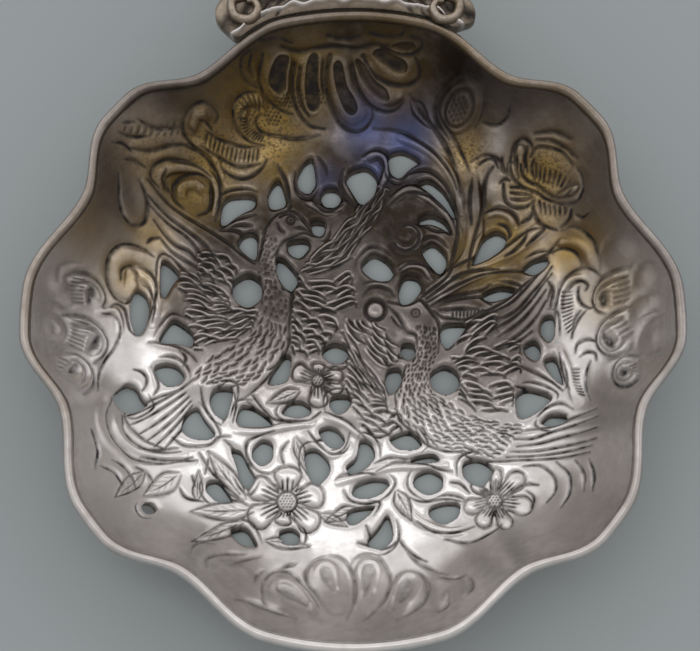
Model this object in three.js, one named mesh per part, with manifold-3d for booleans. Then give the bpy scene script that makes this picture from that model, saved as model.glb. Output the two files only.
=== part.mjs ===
// Caddy spoon in silver: a lobed bowl, pressed from sheet and pierced with a fret saw, a half-round
// wire round its rim, a shoulder plate with two scrolls, and a short handle of a domed front on a
// flat back plate. Nothing moves: the pieces are soldered where they touch.
// The origin is the middle of the flat underside of the bowl. The handle points along +Y.
import * as THREE from 'three';
import Module from 'manifold-3d';
import { mergeVertices } from 'three/addons/utils/BufferGeometryUtils.js';

const wasm = await Module();
wasm.setup();

// Driving sizes, in millimetres
const bowlRadius = 30;
const notchDepth = 2.6;
const endLobeInset = 0.5;
const bowlHeight = 10.5;
const floorRadius = 20.5;
const sheet = 0.8;
const wallCurve = 1.6;
const wireWidth = 1.05;
const wireHeight = 0.8;
const wireOverhang = 0.05;
const clearance = 0.3;
const handleOffset = -0.7;
const shoulderThickness = 2.3;
const shoulderRise = 0.4;
const shoulderBevel = 0.4;
const shoulderHalfWidth = 11.6;
const shoulderLength = 8.4;
const neckHalfWidth = 3.9;
const scrollWidth = 0.9;
const scrollHeight = 0.6;
const scrollInset = 1.1;
const voluteRadius = 1.5;
const handleLength = 38;
const handleRise = 7.5;
const handlePlate = 0.8;
const handleCrown = 1.5;
const handleLip = 0.4;
const handleWall = 0.7;
const tongueHalfWidth = 3;

// Lobes of the rim, from the handle's end to the far end: the crest's direction, half the angle
// over which the crest is level, and the direction of the notch that follows it, in degrees
const lobes = [
  { crest: 0, level: 13, notch: 31, inset: endLobeInset },
  { crest: 47, level: 3, notch: 64.5, inset: 0.1 },
  { crest: 88, level: 4, notch: 107, inset: 0 },
  { crest: 128, level: 3, notch: 146.5, inset: 0.2 },
  { crest: 180, level: 15, inset: endLobeInset },
];

// Openings sawn through the floor between the birds, flowers and scrolls, each by its corners in
// order round it: across and along the bowl
const openings = [
  [[-12.4, 14.3], [-9.3, 14.5], [-9.2, 13.1], [-10.8, 12.4], [-12.7, 10.9]],
  [[-7, 16.3], [-6.1, 13.2], [-7.9, 12.7], [-8.2, 14.6]],
  [[-3.9, 18.2], [-3.6, 16.7], [-3.5, 15.3], [-4.2, 14.3], [-5.2, 14.9], [-5.4, 16.2], [-4.7, 17.6]],
  [[-1, 14.1], [-1.5, 15.1], [-2.7, 15.1], [-3.2, 14.1], [-2.7, 13.1], [-1.5, 13.1]],
  [[-0.3, 16.8], [1.3, 17.3], [2.4, 16.2], [2.1, 14.2], [0.8, 13.1], [0, 14.4], [-0.8, 15.8]],
  [[-4.1, 11.9], [-2.5, 11.8], [-2.8, 10.2], [-3.8, 10.4]],
  [[-9.6, 10.8], [-9, 10.3], [-9.1, 7.7], [-10.2, 8.5], [-11, 9.4], [-10.5, 10.5]],
  [[-6.3, 9.9], [-4.3, 10.1], [-4, 9.2], [-5, 8], [-6.1, 8.5]],
  [[-7.2, 8.3], [-6.5, 8.1], [-5.4, 6.9], [-5.1, 5.8], [-5.8, 4.7], [-6.8, 5.6], [-7.3, 6.9]],
  [[-9.9, 6.8], [-8.6, 6], [-8.5, 4.1], [-9.9, 3.1], [-11.3, 4], [-11.4, 5.9]],
  [[-18.2, 8.2], [-17.2, 7.6], [-16.2, 6.4], [-17, 5.5], [-17.7, 4.2], [-18.2, 4.6]],
  [[-20.4, 5.3], [-19.4, 4.7], [-19.1, 3.1], [-19.6, 0.9], [-20.4, 0.5], [-21.1, 2.8]],
  [[-17.9, 1.1], [-17, 2.4], [-16, 1.8], [-14.9, 0.9], [-15, -0.6], [-16.4, -0.1], [-18.4, 0]],
  [[-18.8, -2.2], [-17.6, -1.8], [-16.4, -2.1], [-15.6, -3.2], [-16.2, -4.1], [-17.5, -4.2], [-18.3, -3.4]],
  [[-21, -3.7], [-20.1, -4.1], [-19.6, -5.2], [-18.9, -5.9], [-20.4, -6.9], [-21.6, -6.6], [-22.2, -5.2]],
  [[-15.2, -6.3], [-14.5, -6], [-13.8, -7.2], [-12.7, -8.5], [-13.2, -9.2], [-14.8, -9.2], [-16, -8.5], [-15.9, -7.2]],
  [[-13, -4.2], [-11.1, -4.2], [-11.3, -5.6], [-11.9, -7.5], [-13, -6.8], [-13.5, -5.5]],
  [[-10.6, -5.8], [-9.2, -6], [-7.4, -7.4], [-7.6, -8], [-11.1, -8]],
  [[-6.3, -1], [-5.7, -1.3], [-6, -3.6], [-6.9, -4], [-8.1, -4.1], [-7.6, -2.8], [-6.9, -1.8]],
  [[-6, -5.5], [-4.8, -5.4], [-3.8, -6.1], [-4, -6.9], [-5.2, -7.2], [-6.9, -6.8]],
  [[-2.2, -5], [-0.5, -4.9], [0, -5.4], [-0.6, -6.5], [-1.4, -6.9], [-2.2, -6.3]],
  [[-2.7, -0.4], [-1.7, 0.1], [-0.5, -0.4], [-0.4, -1.5], [-1.2, -2.1], [-2.3, -1.9], [-3, -1.1]],
  [[3.2, -2.5], [4.4, -2.3], [4.7, -3.4], [4.1, -4.6], [3.4, -5.1], [2.9, -3.8]],
  [[8.5, -2], [9.9, -2.8], [10, -4.4], [8.6, -5.2], [7.2, -4.4], [7.1, -2.9]],
  [[0.7, 7.6], [1.9, 8.8], [3.2, 8.1], [4, 6.9], [3.5, 5.9], [1.9, 6], [0.9, 6.8]],
  [[4.8, 6.6], [6.2, 6.4], [6.6, 5.2], [5.6, 3.8], [4.5, 3.5], [4.2, 4.8]],
  [[6.3, 9], [7.6, 9.9], [8.8, 8.7], [8.9, 7.4], [8.2, 6.4], [7.1, 7.6]],
  [[6.2, 12.2], [7.5, 12.6], [8.8, 11.9], [9.5, 10.4], [8.4, 11.1], [7.3, 11.5], [6.2, 11.4]],
  [[6, 15.5], [7.2, 16.1], [8.7, 14.9], [9.8, 12.7], [9.6, 11.8], [8.7, 13.2], [7.2, 14.6]],
  [[3.3, 18.5], [4.8, 18.9], [6.7, 17.7], [5.4, 16.9], [4.4, 15.8], [3.5, 16.5]],
  [[11.1, 7.3], [11.6, 8.5], [12.3, 10.2], [13.6, 11], [14.7, 10.4], [14.3, 9.1], [12.7, 7.9]],
  [[15.8, 7], [17, 8.1], [18.5, 8.4], [18.4, 7.3], [17, 6.3]],
  [[12.3, 4.9], [13.9, 5.5], [15.5, 5.2], [14.9, 4.4], [13.1, 3.8], [12.1, 4.3]],
  [[8.2, 1.9], [11, 2], [10.3, 0.9], [8.9, -0.8], [8.2, 0]],
  [[16.2, -0.1], [17.1, 0.3], [17.7, -0.5], [17.4, -1.9], [16.4, -1.5], [15.9, -0.7]],
  [[17.8, 2.5], [19, 2.8], [19, 0.7], [18.4, -0.1], [17.5, 0.9]],
  [[17.7, -1.6], [19, -1.2], [19.5, -2.9], [19.7, -4.2], [18.6, -3.3]],
  [[15.1, -4.9], [16.2, -4.2], [18.1, -4.7], [18.8, -5.2], [17.5, -6.4], [16.2, -7.2], [15.3, -7.2]],
  [[17.3, -7.7], [18.3, -6.6], [19.7, -6.7], [19.9, -7.5], [18.4, -8]],
  [[-3.4, -8.3], [-2.4, -7.8], [-1.4, -8.1], [-0.6, -9.2], [-1.2, -10.1], [-2.4, -9.9]],
  [[-9.4, -9.9], [-8.5, -9], [-7.4, -9.4], [-7.4, -11], [-8.4, -11.8], [-9.4, -11.1]],
  [[-4.5, -10.1], [-3.4, -9.9], [-2.3, -10.9], [-2, -12.2], [-3.1, -13.5], [-4, -13.1], [-4.5, -11.5]],
  [[0.6, -9], [1.7, -9.3], [2.2, -10.8], [1, -12.1], [-0.3, -12.5], [-0.8, -11.7], [0.4, -10.8]],
  [[3.2, -9], [4.8, -8.3], [5.6, -8.4], [6.6, -9.6], [5.8, -10.2], [4, -10.1]],
  [[0.1, -13.3], [1.7, -12.7], [3.1, -12.8], [3.5, -13.4], [2.6, -14.3], [1.2, -14.8], [-0.2, -14.5]],
  [[5.7, -12.4], [7.1, -11.8], [8.4, -12.5], [8.3, -13.9], [6.9, -14.5], [5.5, -13.6]],
  [[10.1, -11.2], [11.7, -10.8], [13.1, -11.7], [12.7, -12.9], [11.9, -13.8], [10.2, -12.9]],
  [[7, -15.4], [8.5, -14.9], [10, -15], [9.8, -16.4], [8.4, -17.2], [7, -16.5]],
  [[-0.6, -15.6], [2.3, -15.2], [1.5, -16.2], [0.2, -17.2], [-0.6, -17.1]],
  [[3.2, -15.9], [3.7, -17.4], [3.7, -18.6], [2.6, -19.5], [1.4, -19.1], [1.3, -18.4], [2.3, -17.4]],
  [[-13.6, -13], [-12.5, -12.8], [-11.4, -14.3], [-11, -15.1], [-12.7, -15], [-13.7, -14]],
  [[-11.5, -9.9], [-10.3, -10.2], [-9.8, -11.4], [-8.9, -12.7], [-9.7, -14.1], [-10.5, -13.1], [-10.8, -11.7]],
  [[-11.4, -17.4], [-9.8, -17.1], [-8.5, -19.2], [-9.9, -19.1], [-10.9, -18.4]],
  [[-7, -17.7], [-5.7, -17.3], [-4.8, -17.9], [-5, -19], [-6.4, -19]],
  [[-17.7, -15.8], [-18.1, -15.2], [-18.8, -15.2], [-19.2, -15.8], [-18.8, -16.4], [-18.1, -16.4]],
  [[5.6, -10.7], [7.6, -10.4], [8.2, -11.2], [6.8, -11.4], [5.2, -11.3]],
  [[4.5, 0], [5.8, -0.1], [5.9, -1.2], [5.2, -1.9], [4.4, -1.2]],
];
// How far from each corner, as a share of the edges, the opening's outline starts to curve
const openingCurve = 0.4;

// How finely the curves are stepped
const bowlSteps = 96;
const wallSteps = 6;
const openingCurveSteps = 3;
const wireArcSteps = 4;
const handleSteps = 32;
const handleArcSteps = 8;
const scrollSteps = 34;
const shoulderEdgeSteps = 22;

// Sizes that follow from the ones above
const edgeHeight = bowlHeight - wireHeight;
const shoulderTop = bowlHeight + shoulderRise;
const shoulderUnderside = shoulderTop - shoulderThickness;
const shoulderEnd = bowlRadius - endLobeInset + shoulderLength;
const handleStart = shoulderEnd + shoulderBevel + clearance;

const degree = Math.PI / 180;
const ease = (t) => (1 - Math.cos(Math.PI * t)) / 2;

// Skin over rows of points, each row a closed ring. The first and last rows are either joined to
// each other or closed with a fan of triangles round their middle point.
function skin(rows, joinsUp) {
  const count = rows[0].length;
  const points = rows.flat();
  const faces = [];
  const bands = joinsUp ? rows.length : rows.length - 1;
  for (let i = 0; i < bands; i += 1) {
    const near = i * count;
    const far = ((i + 1) % rows.length) * count;
    for (let j = 0; j < count; j += 1) {
      const next = (j + 1) % count;
      faces.push(near + j, near + next, far + next, near + j, far + next, far + j);
    }
  }
  if (!joinsUp) {
    closeEnd(points, faces, 0, count, false);
    closeEnd(points, faces, (rows.length - 1) * count, count, true);
  }
  return solidGeometry(points, faces);
}

function closeEnd(points, faces, first, count, isLast) {
  const middle = new THREE.Vector3();
  for (let j = 0; j < count; j += 1) {
    middle.addScaledVector(points[first + j], 1 / count);
  }
  const apex = points.push(middle) - 1;
  for (let j = 0; j < count; j += 1) {
    const here = first + j;
    const next = first + ((j + 1) % count);
    faces.push(apex, isLast ? here : next, isLast ? next : here);
  }
}

// Geometry with its faces turned outwards
function solidGeometry(points, faces) {
  let volume = 0;
  for (let k = 0; k < faces.length; k += 3) {
    const [a, b, c] = [points[faces[k]], points[faces[k + 1]], points[faces[k + 2]]];
    volume += a.dot(new THREE.Vector3().crossVectors(b, c));
  }
  const geometry = new THREE.BufferGeometry().setFromPoints(points);
  geometry.setIndex(volume > 0 ? faces : faces.toReversed());
  return geometry;
}

function toSolid(geometry) {
  const bare = geometry.clone();
  bare.deleteAttribute('normal');
  bare.deleteAttribute('uv');
  const merged = mergeVertices(bare, 1e-3);
  return new wasm.Manifold(new wasm.Mesh({
    numProp: 3,
    vertProperties: new Float32Array(merged.attributes.position.array),
    triVerts: new Uint32Array(merged.index.array),
  }));
}

function fromSolid(solid) {
  const mesh = solid.getMesh();
  const geometry = new THREE.BufferGeometry();
  geometry.setAttribute('position', new THREE.BufferAttribute(new Float32Array(mesh.vertProperties), 3));
  geometry.setIndex(new THREE.BufferAttribute(new Uint32Array(mesh.triVerts), 1));
  return geometry;
}

// Outer radius of the rim in a direction from the handle, in degrees, alike on both sides
function rimRadius(direction) {
  const turn = Math.abs(((direction + 540) % 360) - 180);
  const crest = (lobe) => bowlRadius - lobe.inset;
  for (const [i, lobe] of lobes.entries()) {
    if (turn <= lobe.crest + lobe.level || i === lobes.length - 1) {
      return crest(lobe);
    }
    const next = lobes[i + 1];
    const low = bowlRadius - notchDepth;
    if (turn < lobe.notch) {
      const fall = (turn - lobe.crest - lobe.level) / (lobe.notch - lobe.crest - lobe.level);
      return THREE.MathUtils.lerp(crest(lobe), low, ease(fall));
    }
    if (turn < next.crest - next.level) {
      const climb = (turn - lobe.notch) / (next.crest - next.level - lobe.notch);
      return THREE.MathUtils.lerp(low, crest(next), ease(climb));
    }
  }
  return bowlRadius;
}

function polar(direction, radius, height) {
  return new THREE.Vector3(radius * Math.sin(direction * degree), radius * Math.cos(direction * degree), height);
}

function ringDirections() {
  return Array.from({ length: bowlSteps }, (_, k) => (360 * k) / bowlSteps);
}

// Point in the plan, a distance outside the rim and square to it
function outsideRim(direction, distance) {
  const here = polar(direction, rimRadius(direction), 0);
  const before = polar(direction - 1, rimRadius(direction - 1), 0);
  const after = polar(direction + 1, rimRadius(direction + 1), 0);
  const along = after.sub(before).normalize();
  return new THREE.Vector2(here.x - along.y * distance, here.y + along.x * distance);
}

// Inside and outside of the bowl's sheet, part of the way up the wall. The wall rises in a curve
// from the flat floor, and its lobes deepen from nothing at the floor to the rim.
function wallPoint(direction, climb, isOutside) {
  const topRadius = rimRadius(direction) - wireWidth + wireOverhang;
  const run = topRadius - floorRadius;
  const rise = edgeHeight - sheet;
  const radius = floorRadius + run * climb;
  const height = sheet + rise * climb ** wallCurve;
  if (!isOutside) {
    return polar(direction, radius, height);
  }
  const slope = rise * wallCurve * climb ** (wallCurve - 1);
  const length = Math.hypot(run, slope);
  if (climb === 1) {
    return polar(direction, radius + (sheet * length) / slope, height);
  }
  return polar(direction, radius + (sheet * slope) / length, height - (sheet * run) / length);
}

function bowlShell() {
  const rows = [];
  for (let k = 0; k <= wallSteps; k += 1) {
    rows.push(ringDirections().map((direction) => wallPoint(direction, k / wallSteps, false)));
  }
  for (let k = wallSteps; k >= 0; k -= 1) {
    rows.push(ringDirections().map((direction) => wallPoint(direction, k / wallSteps, true)));
  }
  return skin(rows, false);
}

// Outline of one sawn opening: straight between its corners, and curved round each of them
function openingShape(corners) {
  const points = corners.map(([x, y]) => new THREE.Vector2(x, y));
  const shape = new THREE.Shape();
  points.forEach((corner, k) => {
    const before = points[(k + points.length - 1) % points.length];
    const after = points[(k + 1) % points.length];
    const start = corner.clone().lerp(before, openingCurve);
    const end = corner.clone().lerp(after, openingCurve);
    if (k === 0) {
      shape.moveTo(start.x, start.y);
    } else {
      shape.lineTo(start.x, start.y);
    }
    shape.quadraticCurveTo(corner.x, corner.y, end.x, end.y);
  });
  shape.closePath();
  return shape;
}

function bowlGeometry() {
  let bowl = toSolid(bowlShell());
  for (const opening of openings) {
    const cutter = new THREE.ExtrudeGeometry(openingShape(opening), {
      depth: edgeHeight,
      bevelEnabled: false,
      steps: 1,
      curveSegments: openingCurveSteps,
    });
    cutter.translate(0, 0, -sheet);
    bowl = bowl.subtract(toSolid(cutter));
  }
  return fromSolid(bowl);
}

// Half-round wire standing on the bowl's edge
function rimWireGeometry() {
  const rows = ringDirections().map((direction) => {
    const outer = rimRadius(direction);
    const middle = outer - wireWidth / 2;
    const section = [];
    for (let k = 0; k <= wireArcSteps; k += 1) {
      const angle = (Math.PI * k) / wireArcSteps;
      const radius = middle + (wireWidth / 2) * Math.cos(angle);
      section.push(polar(direction, radius, edgeHeight + wireHeight * Math.sin(angle)));
    }
    return section;
  });
  return skin(rows, true);
}

// Direction of the shoulder's tip beside the rim, on the right (1) or the left (-1)
function tipDirection(side) {
  const reach = shoulderHalfWidth - 1.6 + side * handleOffset;
  return (side * Math.asin(reach / (bowlRadius - endLobeInset))) / degree;
}

// Outer edge of the shoulder plate, from the tip beside the rim to the neck
function shoulderEdge(side) {
  const start = bowlRadius - endLobeInset;
  const outline = [
    [shoulderHalfWidth, start - 0.7],
    [shoulderHalfWidth - 0.6, start + 0.9],
    [shoulderHalfWidth - 2.6, start + 2.4],
    [neckHalfWidth + 2.6, start + 3.6],
    [neckHalfWidth + 0.6, start + 0.7 * shoulderLength],
    [neckHalfWidth, shoulderEnd],
  ];
  const points = outline.map(([across, along]) => new THREE.Vector2(handleOffset + side * across, along));
  return new THREE.SplineCurve([outsideRim(tipDirection(side), clearance + shoulderBevel), ...points]);
}

// The shoulder's plan: its two flared sides, and a front edge that follows the rim's outside
function shoulderShape() {
  const right = shoulderEdge(1).getSpacedPoints(shoulderEdgeSteps);
  const left = shoulderEdge(-1).getSpacedPoints(shoulderEdgeSteps).reverse();
  const front = [];
  for (let k = 1; k < shoulderEdgeSteps; k += 1) {
    const turn = THREE.MathUtils.lerp(tipDirection(-1), tipDirection(1), k / shoulderEdgeSteps);
    front.push(outsideRim(turn, clearance + shoulderBevel));
  }
  return new THREE.Shape([...right, ...left, ...front]);
}

function shoulderGeometry() {
  const geometry = new THREE.ExtrudeGeometry(shoulderShape(), {
    depth: shoulderThickness - 2 * shoulderBevel,
    bevelSize: shoulderBevel,
    bevelThickness: shoulderBevel,
    bevelSegments: 2,
    steps: 1,
  });
  return geometry.translate(0, 0, shoulderUnderside + shoulderBevel);
}

// Line of one scroll: down the shoulder's edge from the neck, then round a closing spiral
function scrollLine(side) {
  const edge = shoulderEdge(side);
  const points = [0.82, 0.68, 0.54, 0.4].map((part) => {
    const tangent = edge.getTangentAt(part);
    const inward = new THREE.Vector2(-tangent.y, tangent.x).multiplyScalar(side * scrollInset);
    return edge.getPointAt(part).add(inward);
  });
  const eye = new THREE.Vector2(shoulderHalfWidth - scrollInset - voluteRadius, bowlRadius - endLobeInset + 0.1);
  for (const [turn, share] of [[20, 1], [-40, 1], [-100, 0.86], [-160, 0.66], [-220, 0.5], [-280, 0.36]]) {
    const across = eye.x + voluteRadius * share * Math.cos(turn * degree);
    const along = eye.y + voluteRadius * share * Math.sin(turn * degree);
    points.push(new THREE.Vector2(handleOffset + side * across, along));
  }
  return new THREE.SplineCurve(points);
}

// Half-round scroll that lies flat on the shoulder plate
function scrollGeometry(side) {
  const line = scrollLine(side);
  const rows = [];
  for (let k = 0; k <= scrollSteps; k += 1) {
    const point = line.getPointAt(k / scrollSteps);
    const tangent = line.getTangentAt(k / scrollSteps);
    const section = [];
    for (let j = 0; j <= 4; j += 1) {
      const angle = (Math.PI * j) / 4;
      const across = (scrollWidth / 2) * Math.cos(angle);
      const height = shoulderTop + scrollHeight * Math.sin(angle);
      section.push(new THREE.Vector3(point.x - tangent.y * across, point.y + tangent.x * across, height));
    }
    rows.push(section);
  }
  return skin(rows, false);
}

// Half width of the handle, part of the way from the neck to its rounded end
function handleHalfWidth(part) {
  const widths = new THREE.SplineCurve([
    new THREE.Vector2(0, neckHalfWidth),
    new THREE.Vector2(0.1, neckHalfWidth - 1),
    new THREE.Vector2(0.21, neckHalfWidth - 1.2),
    new THREE.Vector2(0.31, neckHalfWidth - 0.2),
    new THREE.Vector2(0.38, neckHalfWidth + 0.7),
    new THREE.Vector2(0.45, neckHalfWidth + 0.3),
    new THREE.Vector2(0.55, neckHalfWidth + 1.7),
    new THREE.Vector2(0.67, neckHalfWidth + 3.4),
    new THREE.Vector2(0.75, neckHalfWidth + 2.8),
    new THREE.Vector2(0.83, neckHalfWidth + 3.1),
    new THREE.Vector2(0.91, neckHalfWidth + 2.1),
    new THREE.Vector2(0.97, neckHalfWidth - 0.6),
    new THREE.Vector2(1, neckHalfWidth - 3),
  ]);
  for (let k = 1; k <= 200; k += 1) {
    const point = widths.getPoint(k / 200);
    if (point.x >= part) {
      return point.y;
    }
  }
  return neckHalfWidth - 3;
}

// Stations along the handle: how far along, and the height of the joint between its two halves
function handleStation(part) {
  return {
    y: handleStart + handleLength * part,
    z: shoulderUnderside + handleRise * ease(part * 0.8) / ease(0.8),
    halfWidth: handleHalfWidth(part),
  };
}

// Flat back plate, with a tongue that lies under the shoulder
function handleBackGeometry() {
  const root = shoulderEnd - shoulderLength + wireWidth + clearance;
  const stations = [
    { y: root, z: shoulderUnderside, halfWidth: tongueHalfWidth },
    { y: shoulderEnd, z: shoulderUnderside, halfWidth: tongueHalfWidth },
  ];
  for (let k = 0; k <= handleSteps; k += 1) {
    stations.push(handleStation(k / handleSteps));
  }
  const rows = stations.map(({ y, z, halfWidth }) => [
    new THREE.Vector3(handleOffset + halfWidth, y, z),
    new THREE.Vector3(handleOffset - halfWidth, y, z),
    new THREE.Vector3(handleOffset - halfWidth, y, z - handlePlate),
    new THREE.Vector3(handleOffset + halfWidth, y, z - handlePlate),
  ]);
  return skin(rows, false);
}

// Domed front, hollow underneath, on the back plate
function handleFrontGeometry() {
  const rows = [];
  for (let k = 0; k <= handleSteps; k += 1) {
    const part = k / handleSteps;
    const { y, z, halfWidth } = handleStation(part);
    const swell = Math.sin(Math.PI * part) ** 0.5;
    const crown = handleCrown * (0.55 + 0.45 * swell);
    const innerHalf = Math.max(halfWidth - handleWall, halfWidth * 0.4);
    const innerCrown = (crown + handleLip - handleWall) * THREE.MathUtils.smoothstep(swell, 0.3, 0.8);
    const section = [new THREE.Vector3(handleOffset + halfWidth, y, z)];
    for (let j = 0; j <= handleArcSteps; j += 1) {
      const angle = (Math.PI * j) / handleArcSteps;
      const height = z + handleLip + crown * Math.sin(angle) ** 0.8;
      section.push(new THREE.Vector3(handleOffset + halfWidth * Math.cos(angle), y, height));
    }
    section.push(new THREE.Vector3(handleOffset - halfWidth, y, z));
    for (let j = handleArcSteps; j >= 0; j -= 1) {
      const angle = (Math.PI * j) / handleArcSteps;
      const height = z + innerCrown * Math.sin(angle);
      section.push(new THREE.Vector3(handleOffset + innerHalf * Math.cos(angle), y, height));
    }
    rows.push(section);
  }
  return skin(rows, false);
}

// Finish of each piece: colour, roughness and metalness
const silver = () => new THREE.MeshStandardMaterial({ color: 0xb9b4aa, roughness: 0.32, metalness: 1 });
const darkSilver = () => new THREE.MeshStandardMaterial({ color: 0x8f887b, roughness: 0.42, metalness: 1 });

function piece(name, geometry, material) {
  const mesh = new THREE.Mesh(geometry, material);
  mesh.name = name;
  return mesh;
}

const spoon = new THREE.Group();
spoon.add(piece('bowl', bowlGeometry(), silver()));
spoon.add(piece('rim_wire', rimWireGeometry(), silver()));
spoon.add(piece('shoulder', shoulderGeometry(), darkSilver()));
spoon.add(piece('scroll_left', scrollGeometry(-1), darkSilver()));
spoon.add(piece('scroll_right', scrollGeometry(1), darkSilver()));
spoon.add(piece('handle_back', handleBackGeometry(), silver()));
spoon.add(piece('handle_front', handleFrontGeometry(), silver()));

export default spoon;
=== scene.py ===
import math
import bpy
import numpy as np
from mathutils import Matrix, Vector


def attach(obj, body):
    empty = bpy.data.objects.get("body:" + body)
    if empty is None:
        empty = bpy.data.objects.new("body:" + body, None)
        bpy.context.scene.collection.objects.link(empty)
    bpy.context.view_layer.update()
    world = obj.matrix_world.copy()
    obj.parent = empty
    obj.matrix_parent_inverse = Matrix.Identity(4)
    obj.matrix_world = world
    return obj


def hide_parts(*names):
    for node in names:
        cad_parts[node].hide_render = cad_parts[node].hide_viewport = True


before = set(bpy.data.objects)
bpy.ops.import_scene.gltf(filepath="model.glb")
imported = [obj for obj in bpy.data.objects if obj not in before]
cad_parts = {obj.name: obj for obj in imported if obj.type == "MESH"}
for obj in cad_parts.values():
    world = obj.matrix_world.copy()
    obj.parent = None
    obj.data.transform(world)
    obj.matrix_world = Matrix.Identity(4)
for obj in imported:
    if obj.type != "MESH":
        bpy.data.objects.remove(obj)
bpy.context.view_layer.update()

# Metres in a millimetre
MM = 0.001

# Sizes of the bowl, the same as the CAD model's, in millimetres
BOWL_RADIUS = 30.0
NOTCH_DEPTH = 2.6
END_LOBE_INSET = 0.5
BOWL_HEIGHT = 10.5
FLOOR_RADIUS = 20.5
SHEET = 0.8
WALL_CURVE = 1.6
WIRE_WIDTH = 1.05
WIRE_HEIGHT = 0.8
WIRE_OVERHANG = 0.05
EDGE_HEIGHT = BOWL_HEIGHT - WIRE_HEIGHT
RIM_END = BOWL_RADIUS - END_LOBE_INSET

# How far the wall's curve goes on past its edge, for the mesh, as a share of its run
WALL_OVERRUN = 1.2
# How finely the chased sheet is meshed, in millimetres
GRID_STEP = 0.09
# Sharpness of an opening's rounded corners, and the steps in each
OPENING_CURVE = 0.4
OPENING_CURVE_STEPS = 5

# Lobes of the rim from the handle's end: crest, half its level stretch, next notch, inset
LOBES = [
    (0, 13, 31, END_LOBE_INSET),
    (47, 3, 64.5, 0.1),
    (88, 4, 107, 0.0),
    (128, 3, 146.5, 0.2),
    (180, 15, 212, END_LOBE_INSET),
]

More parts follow.
